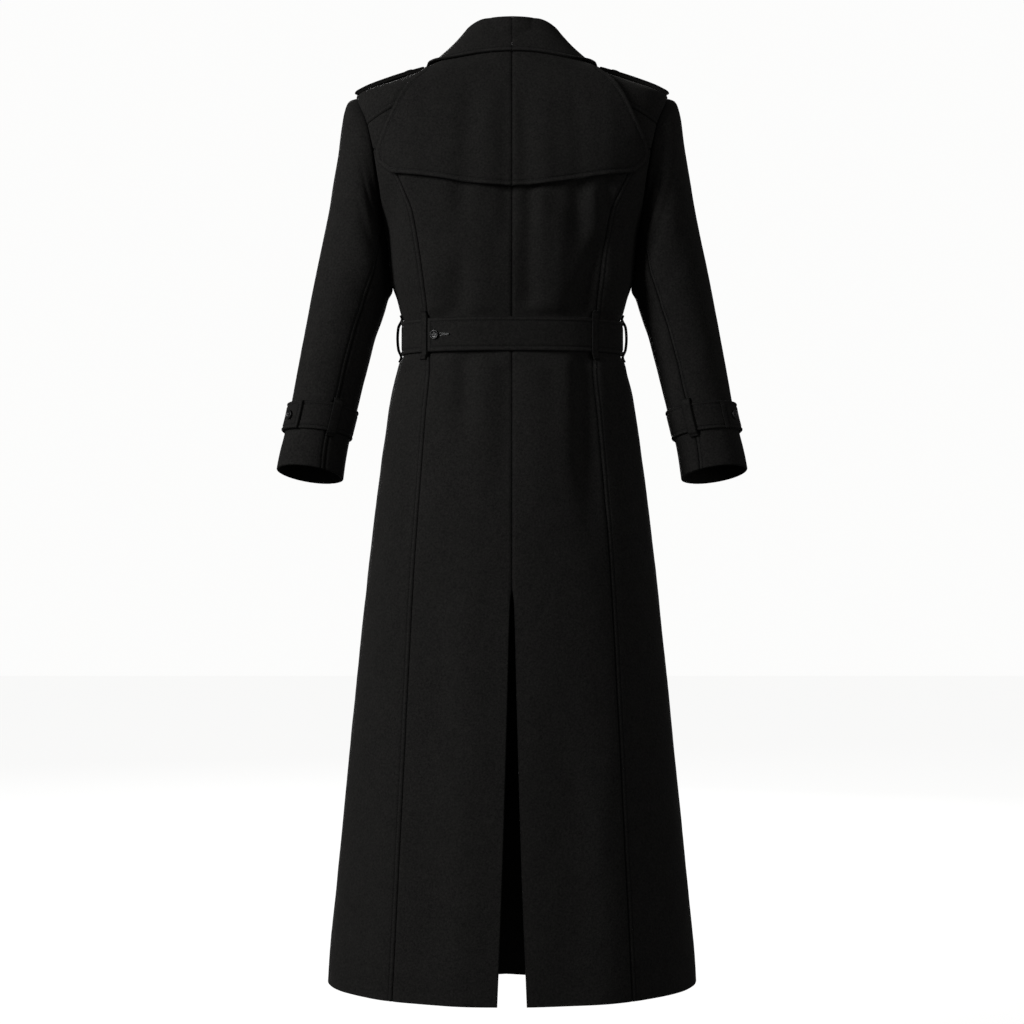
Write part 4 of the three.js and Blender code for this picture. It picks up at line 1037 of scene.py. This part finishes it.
def belt_pieces():
    start = belt_turn_of(BELT_ENDS["free_x"])
    hidden = belt_turn_of(BELT_ENDS["hidden_x"])
    end = hidden + 2 * math.pi

    def surface(u, v):
        return body_at(mix(start, end, u), mix(BELT["top"], BELT["bottom"], v))

    grid, u, v = grid_of(surface, NEAR, NEAR, NEAR, NEAR, 5, 5)
    turn = mix(start, end, u)
    settled = ramp(hidden + 0.06, hidden + 0.06 + BELT_ENDS["ramp"], turn)
    wave = 0.35 * noise(grid, (60, 60, 60), 11) * ramp(0, 12, np.minimum(v, 1 - v) * 50 + 4)
    lift = mix(BELT["over"], BELT["lift"], settled) + belt_rise(grid) + np.abs(wave)
    outer, d = band("belt", "", grid, outward(grid), lift, BELT["thick"], BELT_STITCH,
                    ("top", "bottom", "first"))
    lines = lines_inside(outer, d, BELT_STITCH, ("top", "bottom", "first"))
    stitches("stitching_belt", lines, outer, outward(grid))
    for _, where, turned in SIDES:
        at = belt_turn_of(BACK_LOOP[f"{where}_x"])
        loop_piece(f"back_loop_{where}", BACK_LOOP_ROWS, BACK_LOOP["half"], at, turned)
    for _, where, turned in SIDES:
        loop_piece(f"side_loop_{where}", SIDE_LOOP_ROWS, SIDE_LOOP_HALF, 0.0, turned)


def loop_piece(name, rows, half, turn, turned):
    height, reach = by_row(rows, "z"), by_row(rows, "out")
    last = len(rows["z"]) - 1

    def parts(v):
        middle = body_at(turn, height(v * last))
        n = outward(middle)
        flat = unit(n * np.array([1, 1, 0.0]))
        along = unit(np.stack([-n[..., 1], n[..., 0], 0 * n[..., 0]], axis=-1))
        return middle, flat, along

    def surface(u, v):
        middle, flat, along = parts(v)
        return middle + flat * reach(v * last)[..., None] + along * mix(-half, half, u)[..., None]

    grid, u, v = grid_of(surface, FINE, FINE, FINE, FINE, 1.6, 1.6)
    flat = parts(v)[1]
    tangent = unit(np.gradient(grid, axis=0))
    out = unit(flat - tangent * (flat * tangent).sum(axis=-1, keepdims=True))
    band(name, "", turned(grid - out * LOOP_THICK), turned(out), 0 * u, LOOP_THICK, 0, ())


# Epaulettes
def top_at(x, y):
    """Height of the shoulder over a place seen from above."""
    x, y = np.broadcast_arrays(np.asarray(x, float), y)
    low, high = np.full(x.shape, -110.0), np.full(x.shape, 14.0)
    for _ in range(40):
        middle = (low + high) / 2
        out = swell(point(x, y, middle)) > 1
        high, low = np.where(out, middle, high), np.where(out, low, middle)
    return point(x, y, (low + high) / 2)


def epaulette_pieces():
    for _, where, turned in SIDES:

        def surface(u, v):
            start = EPAULETTE["from"] - EPAULETTE["tuck"]
            return top_at(mix(start, EPAULETTE["to"], u), mix(-1, 1, v) * EPAULETTE["half"])

        _, real, _, out, u, _ = laid_out(surface, turned, NEAR, FINE, NEAR, NEAR, 4, 4)
        lift = EPAULETTE["lift"] + EPAULETTE["bow"] * np.sin(np.pi * u)
        outer, d = band("epaulette", where, real, out, lift, EPAULETTE["thick"], STRAP_STITCH,
                        ("top", "bottom", "first"), fill=lift - 0.5)
        lines = lines_inside(outer, d, STRAP_STITCH, ("top", "bottom", "first"))
        stitches(f"stitching_epaulette_{where}", lines, outer, out)


# Collar and lapels
collar = {key: by_row(COLLAR, key) for key in COLLAR}


def roll_at(place):
    return point(collar["rx"](place), collar["ry"](place), collar["rz"](place))


def away_at(place):
    p, q = roll_at(place - 0.05), roll_at(place + 0.05)
    across = unit(np.stack([p[..., 1] - q[..., 1], q[..., 0] - p[..., 0], 0 * p[..., 0]], axis=-1))
    return np.where((np.asarray(place) < 0.06)[..., None], np.array([0, 1.0, 0]), across)


def fall_surface(u, v):
    place = u * COLLAR_LAST
    roll = roll_at(place)
    edge = point(collar["ex"](place), collar["ey"](place), collar["ez"](place))
    bulged = roll + (edge - roll) * v[..., None] + away_at(place) * np.sin(np.pi * v)[..., None]
    return clear_of(bulged, mix(ROLL_CLEAR, COLLAR_CLEAR, ramp(0, 0.35, v)))


def collar_pieces():
    for _, where, turned in SIDES:
        grid, u, _ = grid_of(fall_surface, FINE, NEAR, FINE, NEAR, 3, 2.5)
        grid[..., 0] = np.maximum(grid[..., 0], SEAM)
        d = edge_distances(grid)
        away = away_at(u * COLLAR_LAST) + np.array([0, 0, 0.3])
        out = normals(grid, away)
        flat = bump(d["first"], 3)[..., None]
        level = np.concatenate([1 - flat, 1 + 0 * flat, 1 + 0 * flat], axis=-1)
        out = unit(out * np.where(flat > 0.02, level, 1))
        rim = np.minimum(d["last"], d["bottom"])
        real = turned(grid)
        h = 0.4 * settle(real + 90) * ramp(0, 20, d["top"]) - round_edge(d["top"], 1.2)
        lines = free_edge(rim, STITCH_IN) + 0.55 * seam(d["first"])
        inner = round_edge(rim, 1.2) + round_edge(d["top"], 1.2)
        made, outer = shell(f"collar_{where}", real, turned(out), h, lines, WALL, inner_relief=inner)
        lines = lines_inside(outer, d, STITCH_IN, ("bottom", "last"))
        lines[0] = lines[0][len(FINE) - 1:]
        stitches(f"stitching_collar_{where}", lines, outer, turned(out))


def neck_at(share):
    place = np.minimum(share / 0.4, 1) * 2
    behind = back_at(curve([0, 1, 2], [0.2, 36, 51.5])(place), curve([0, 1, 2], [8, 6.5, 4])(place))
    s = np.clip((share - 0.4) / 0.6, 0, 1)
    start, end = yoke_back_edge(0 * s), yoke_front_edge(0 * s)
    before = body_at(mix(start[0], end[0], s), mix(start[1], end[1], s))
    return np.where((share <= 0.4)[..., None], behind, before)


def stand_pieces():
    """The collar stand, from one front end round the neck to the other."""
    def surface(u, v):
        side = np.where(u < 0.5, -1.0, 1.0)
        share = 0.96 * np.abs(2 * u - 1)
        neck = neck_at(share)
        place = share * COLLAR_LAST * 0.93
        top = roll_at(place) - away_at(place) * (WALL + 0.7) - np.array([0, 0, 0.6])
        facing = outward(neck)
        foot = neck + unit(np.array([0, 0, 1.0]) - facing * facing[..., 2:]) * 1.5
        p = foot + (top - foot) * v[..., None]
        return point(side * np.maximum(p[..., 0], 0), p[..., 1], p[..., 2])

    grid = grid_of(surface, FINE, FINE, FINE, FINE, 4, 4)[0]
    away = grid * np.array([1, 1, 0.0])
    out = normals(grid, away)
    d = edge_distances(grid)
    h = -round_edge(np.minimum(d["top"], d["bottom"]), 0.9)
    plain = np.stack([0 * h, 0 * h])
    made = shell("collar_stand", grid, out, h, plain, WALL - 0.5, inner_relief=-h)[0]


def lapel_pieces():
    for (side, where, turned), corners in zip(SIDES, (LAPEL_LEFT, LAPEL_RIGHT)):
        def surface(u, v):
            inner_z = mix(LAPEL_TOP["inner"], corners["inner_z"], v)
            inner_x = np.maximum(corners["inner_x"], break_x(inner_z) + 1)
            outer_x = mix(LAPEL_TOP["tip_x"], corners["outer_x"], v)
            outer_z = mix(LAPEL_TOP["tip_z"], corners["outer_z"], v)
            return front_at(mix(inner_x, outer_x, u), mix(inner_z, outer_z, u))

        grid, real, d, out = laid_out(surface, turned, FINE, FINE, FINE, FINE, 4, 4)[:4]
        rise = lap_rise(grid) if side < 0 else 0
        rim = np.minimum.reduce([d[k] for k in d])
        base = real + out * np.asarray(rise + LAPEL_LIFT + WALL + 0 * rim)[..., None]
        h = 0.3 * settle(real) * ramp(0, 15, rim)
        lines = free_edge(rim, STITCH_IN)
        made, outer = shell(f"lapel_{where}", base, out, h, lines, WALL,
                            inner_relief=round_edge(rim, 1.2))
        lines = lines_inside(outer, d, STITCH_IN, ("last",))
        stitches(f"stitching_lapel_{where}", lines, outer, out)


# Buttons
def button_piece(name, spot, axis, size):
    axis = unit(np.asarray(axis, float))
    helper = np.array([0, 1.0, 0]) if abs(axis[2]) > 0.8 else np.array([0, 0, 1.0])
    side = unit(np.cross(axis, helper))
    other = np.cross(axis, side)
    radius, thick = size["radius"], size["thick"]
    turn = np.linspace(0, 2 * np.pi, BUTTON_TURNS, endpoint=False)
    r, t = np.meshgrid(radius * BUTTON["reach"], turn, indexing="ij")
    up = np.repeat(BUTTON["rise"][:, None] * thick, len(turn), axis=1)
    x, y = r * np.cos(t), r * np.sin(t)
    hole = radius * BUTTON_HOLE["off"]
    on_face = np.arange(len(r))[:, None] < BUTTON_FACE
    for hx, hy in ((1, 1), (1, -1), (-1, 1), (-1, -1)):
        off = np.hypot(x - hx * hole, y - hy * hole)
        sunk = BUTTON_HOLE["deep"] * thick * np.exp(-(off / (radius * BUTTON_HOLE["wide"])) ** 4)
        up = up - np.where(on_face, sunk, 0)
    grid = spot + side * x[..., None] + other * y[..., None] + axis * up[..., None]
    n = len(turn)
    points = [p for row in grid for p in row]
    faces = []
    for i in range(len(r) - 1):
        for j in range(n):
            k = (j + 1) % n
            faces.append((i * n + j, (i + 1) * n + j, (i + 1) * n + k, i * n + k))
    faces.append(tuple(range(n)))
    faces.append(tuple((len(r) - 1) * n + j for j in range(n - 1, -1, -1)))
    made = mesh_object(f"{name}_shaped", points, faces, "button")
    ride_as(made, name)
    top = spot + axis * (thick * 0.6)
    lines = []
    for s in (-1, 1):
        lines.append(np.array([top + side * s * hole - other * hole, top + side * s * hole + other * hole]))
    button_threads.extend((line, axis) for line in lines)


button_threads = []
buttonholes = []


def thread_bars():
    """The threads across the holes of every button."""
    points, faces = [], []
    for (a, b), axis in button_threads:
        along = unit(b - a)
        side = np.cross(along, axis)
        start = len(points)
        for k in range(9):
            s = k / 8
            middle = a + (b - a) * s + axis * (0.35 * math.sin(math.pi * s) - 0.1)
            for e in range(6):
                turn = e * math.pi / 3
                points.append(middle + side * 0.42 * math.cos(turn) + axis * 0.3 * math.sin(turn))
        faces += tube_faces(start, 9, 6)
    ride_as(mesh_object("button_threads", points, faces, "thread"))


def buttonhole_pieces():
    """Worked buttonholes: an eye at the button's end of a slit, whipped round with silk."""
    points, faces = [], []
    for middle, axis, along in buttonholes:
        axis = unit(axis)
        along = unit(along - axis * (along * axis).sum())
        side = np.cross(axis, along)
        turn = np.linspace(0, 2 * np.pi, HOLE["steps"], endpoint=False)
        eye = np.exp(-((np.cos(turn) + 0.72) / 0.3) ** 2)
        reach = HOLE["half"] * np.cos(turn)
        width = (HOLE["slit"] + HOLE["eye"] * eye) * np.sign(np.sin(turn)) * np.abs(np.sin(turn)) ** 0.6
        line = middle + along * reach[:, None] + side * width[:, None]
        out = unit(np.roll(line, -1, axis=0) - np.roll(line, 1, axis=0))
        away = np.cross(out, axis)
        whip = 1 + 0.22 * np.cos(np.arange(HOLE["steps"]) * math.pi)
        start, n = len(points), HOLE["steps"]
        for k in range(n):
            for e in range(6):
                round_at = e * math.pi / 3
                spread = away[k] * math.cos(round_at) * 1.25 + axis * math.sin(round_at)
                points.append(line[k] + spread * HOLE["thread"] * whip[k])
        faces += tube_faces(start, n, 6, closed=True)
    ride_as(mesh_object("buttonholes", points, faces, "silk"))


def button_pieces():
    clock = np.radians(float(CUFF_BUTTON["turn"]))
    p, n = strap_parts(clock, 0.0)
    spot = p + n * (STRAP["over"] + STRAP["thick"] + CUFF_BUTTON["off"])
    shoulder = top_at(EPAULETTE_BUTTON["x"], 0.0)
    lift = EPAULETTE["lift"] + EPAULETTE["bow"] * 0.52 + EPAULETTE["thick"] + EPAULETTE_BUTTON["off"]
    on_top = raised(shoulder, lift)
    for side, where, turned in SIDES:
        button_piece(f"cuff_button_{where}", turned(spot), turned(n), CUFF_BUTTON)
        button_piece(f"epaulette_button_{where}", turned(on_top), turned(outward(shoulder)), EPAULETTE_BUTTON)
        for row, z in enumerate(FRONT_BUTTON_ROWS):
            here = front_at(side * float(FRONT_BUTTON["x"]), float(z))
            off = LAP["rise"] + FRONT_BUTTON[where]
            button_piece(f"front_button_{row + 1}_{where}", raised(here, off), outward(here), FRONT_BUTTON)
    belt_middle = (BELT["top"] + BELT["bottom"]) / 2
    on_belt = back_at(float(BELT_BUTTON["x"]), belt_middle)
    spot = raised(on_belt, BELT["over"] + BELT["thick"] + BELT_BUTTON["off"])
    button_piece("belt_button", spot, outward(on_belt), BELT_BUTTON)
    hole = raised(back_at(HOLE["x"], belt_middle), BELT["over"] + BELT["thick"] + 0.2)
    buttonholes.append((hole, outward(on_belt), np.array([-1.0, 0, 0])))
    thread_bars()
    buttonhole_pieces()


def main_pieces():
    body_pieces()
    yoke_pieces()
    flap_pieces()
    sleeve_pieces()
    cuff_pieces()
    belt_pieces()
    epaulette_pieces()
    collar_pieces()
    stand_pieces()
    lapel_pieces()
    button_pieces()


# Materials
def new_material(name):
    made = bpy.data.materials.new(name)
    made.use_nodes = True
    return made, made.node_tree.nodes, made.node_tree.links


def set_values(node, **values):
    for key, value in values.items():
        node.inputs[key.replace("_", " ")].default_value = value


def noise_texture(nodes, links, scale, **values):
    place = nodes.new("ShaderNodeTexCoord")
    made = nodes.new("ShaderNodeTexNoise")
    links.new(place.outputs["Object"], made.inputs["Vector"])
    set_values(made, Scale=scale, **values)
    return made.outputs["Fac"]


def colour_ramp(nodes, links, source, low, high):
    """Colours a value from 0 to 1: low and high each say a place and a colour."""
    made = nodes.new("ShaderNodeValToRGB")
    for element, (place, colour) in zip(made.color_ramp.elements, (low, high)):
        element.position = place
        element.color = colour
    links.new(source, made.inputs["Fac"])
    return made.outputs["Color"]


WOOL_DARK = (0.0042, 0.0041, 0.004, 1)
WOOL_LIGHT = (0.0205, 0.0197, 0.0185, 1)


def wool_material():
    made, nodes, links = new_material("wool")
    shader = nodes["Principled BSDF"]
    set_values(shader, Roughness=0.92, Specular_IOR_Level=0.15)
    set_values(shader, Sheen_Weight=0.04, Sheen_Roughness=0.4, Sheen_Tint=(1, 0.97, 0.93, 1))
    fine = noise_texture(nodes, links, 760, Detail=2, Roughness=0.6)
    fleck = noise_texture(nodes, links, 340, Detail=2, Roughness=0.6)
    cloud = noise_texture(nodes, links, 40, Detail=3, Roughness=0.55)
    grain = blend_of(nodes, links, fine, fleck, 0.62)
    both = blend_of(nodes, links, grain, cloud, 0.12)
    colour = colour_ramp(nodes, links, both, (0.32, WOOL_DARK), (0.7, WOOL_LIGHT))
    # Base colour scaled by 1 plus the tone attribute: painted shade and painted highlight along seams,
    # stitching and edges.
    tone = nodes.new("ShaderNodeAttribute")
    tone.attribute_name = "tone"
    painted_shade_gain = nodes.new("ShaderNodeMath")
    painted_shade_gain.operation = "ADD"
    painted_shade_gain.inputs[1].default_value = 1
    links.new(tone.outputs["Fac"], painted_shade_gain.inputs[0])
    shaded = nodes.new("ShaderNodeVectorMath")
    shaded.operation = "SCALE"
    links.new(colour, shaded.inputs[0])
    links.new(painted_shade_gain.outputs["Value"], shaded.inputs["Scale"])
    links.new(shaded.outputs["Vector"], shader.inputs["Base Color"])
    relief = nodes.new("ShaderNodeBump")
    set_values(relief, Strength=0.7, Distance=0.0008)
    links.new(grain, relief.inputs["Height"])
    links.new(relief.outputs["Normal"], shader.inputs["Normal"])
    materials["wool"] = made


def blend_of(nodes, links, a, b, share):
    made = nodes.new("ShaderNodeMix")
    made.inputs["Factor"].default_value = share
    links.new(a, made.inputs["A"])
    links.new(b, made.inputs["B"])
    return made.outputs["Result"]


def plain_material(name, colour, roughness, grain_scale):
    made, nodes, links = new_material(name)
    shader = nodes["Principled BSDF"]
    set_values(shader, Roughness=roughness)
    grain = noise_texture(nodes, links, grain_scale, Detail=2)
    dark, light = (tuple(c * share for c in colour) + (1,) for share in (0.75, 1.25))
    links.new(colour_ramp(nodes, links, grain, (0, dark), (1, light)), shader.inputs["Base Color"])
    materials[name] = made


def make_materials():
    wool_material()
    plain_material("thread", (0.0055, 0.0053, 0.005), 0.75, 900)
    plain_material("silk", (0.014, 0.014, 0.014), 0.42, 700)
    plain_material("button", (0.005, 0.005, 0.0055), 0.36, 260)


# Camera, lights and floor: where each light stands, its size and its power
CAMERA = {"sensor": 36, "focus_px": 2200, "picture_px": 1024, "at": (0, 3.3, -0.684)}
FLOOR_Z = -1600
FLOOR_HALF = 9000
BACKDROP = {"reach": 12000, "around": 48, "up": 23}
AIM = (0, 0, -0.65)
AMBIENT = 0.07
LIGHTS = [
    ("key", (3.2, 1.95, 0.9), (0.9, 1.6), 118),
    ("fill", (-3.0, 2.2, 0.1), (1.6, 2.4), 18),
    ("front_key", (0.9, -3.6, 1.1), (1.2, 2.0), 84),
    ("front_fill", (-0.9, -3.7, 0.0), (1.6, 2.4), 16),
]


def make_camera():
    data = bpy.data.cameras.new("camera")
    data.sensor_width = CAMERA["sensor"]
    data.lens = CAMERA["sensor"] * CAMERA["focus_px"] / CAMERA["picture_px"]
    made = bpy.data.objects.new("camera", data)
    made.location = CAMERA["at"]
    made.rotation_euler = (math.radians(90), 0, math.radians(180))
    scene.collection.objects.link(made)
    scene.camera = made


def area_light(name, at, aim, size, power):
    data = bpy.data.lights.new(name, "AREA")
    data.shape = "RECTANGLE"
    data.size, data.size_y = size
    data.energy = power
    made = bpy.data.objects.new(name, data)
    made.location = at
    made.rotation_euler = (Vector(at) - Vector(aim)).to_track_quat("Z", "Y").to_euler()
    scene.collection.objects.link(made)


def pale_material(name, glow, tone):
    made, nodes, _ = new_material(name)
    shader = nodes["Principled BSDF"]
    set_values(shader, Base_Color=(tone, tone, tone, 1), Roughness=0.95)
    set_values(shader, Emission_Color=(1, 1, 0.995, 1), Emission_Strength=glow)
    materials[name] = made


def only_seen(made):
    """The stage is white to the eye and throws no light on the coat."""
    made.visible_diffuse = False
    made.visible_glossy = False
    made.visible_shadow = False


def make_backdrop():
    """A white ball all round the coat."""
    n, rows = BACKDROP["around"], BACKDROP["up"]
    turn = np.linspace(0, 2 * np.pi, n, endpoint=False)
    tilt = np.linspace(-0.5, 0.5, rows + 2) * np.pi
    t, e = np.meshgrid(turn, tilt[1:-1])
    reach = BACKDROP["reach"]
    ball = point(np.cos(e) * np.cos(t), np.cos(e) * np.sin(t), np.sin(e)).reshape(-1, 3) * reach
    points = np.concatenate([ball, [[0, 0, -reach], [0, 0, reach]]])
    faces = [(i * n + j, i * n + (j + 1) % n, (i + 1) * n + (j + 1) % n, (i + 1) * n + j)
             for i in range(rows - 1) for j in range(n)]
    faces += [((j + 1) % n, j, len(ball)) for j in range(n)]
    last = (rows - 1) * n
    faces += [(last + j, last + (j + 1) % n, len(ball) + 1) for j in range(n)]
    only_seen(mesh_object("backdrop", points, faces, "backdrop"))


def make_stage():
    world = bpy.data.worlds.new("world")
    scene.world = world
    world.use_nodes = True
    set_values(world.node_tree.nodes["Background"], Color=(1, 0.99, 0.975, 1), Strength=AMBIENT)
    for name, at, size, power in LIGHTS:
        area_light(name, at, AIM, size, power)
    pale_material("floor", 0.93, 0.1)
    pale_material("backdrop", 0.975, 0.0)
    corners = [(x * FLOOR_HALF, y * FLOOR_HALF, FLOOR_Z) for x, y in ((-1, -1), (1, -1), (1, 1), (-1, 1))]
    only_seen(mesh_object("floor", corners, [(0, 1, 2, 3)], "floor", smooth=False))
    make_backdrop()
    scene.view_settings.view_transform = "Standard"


make_camera()
make_materials()
make_stage()
main_pieces()
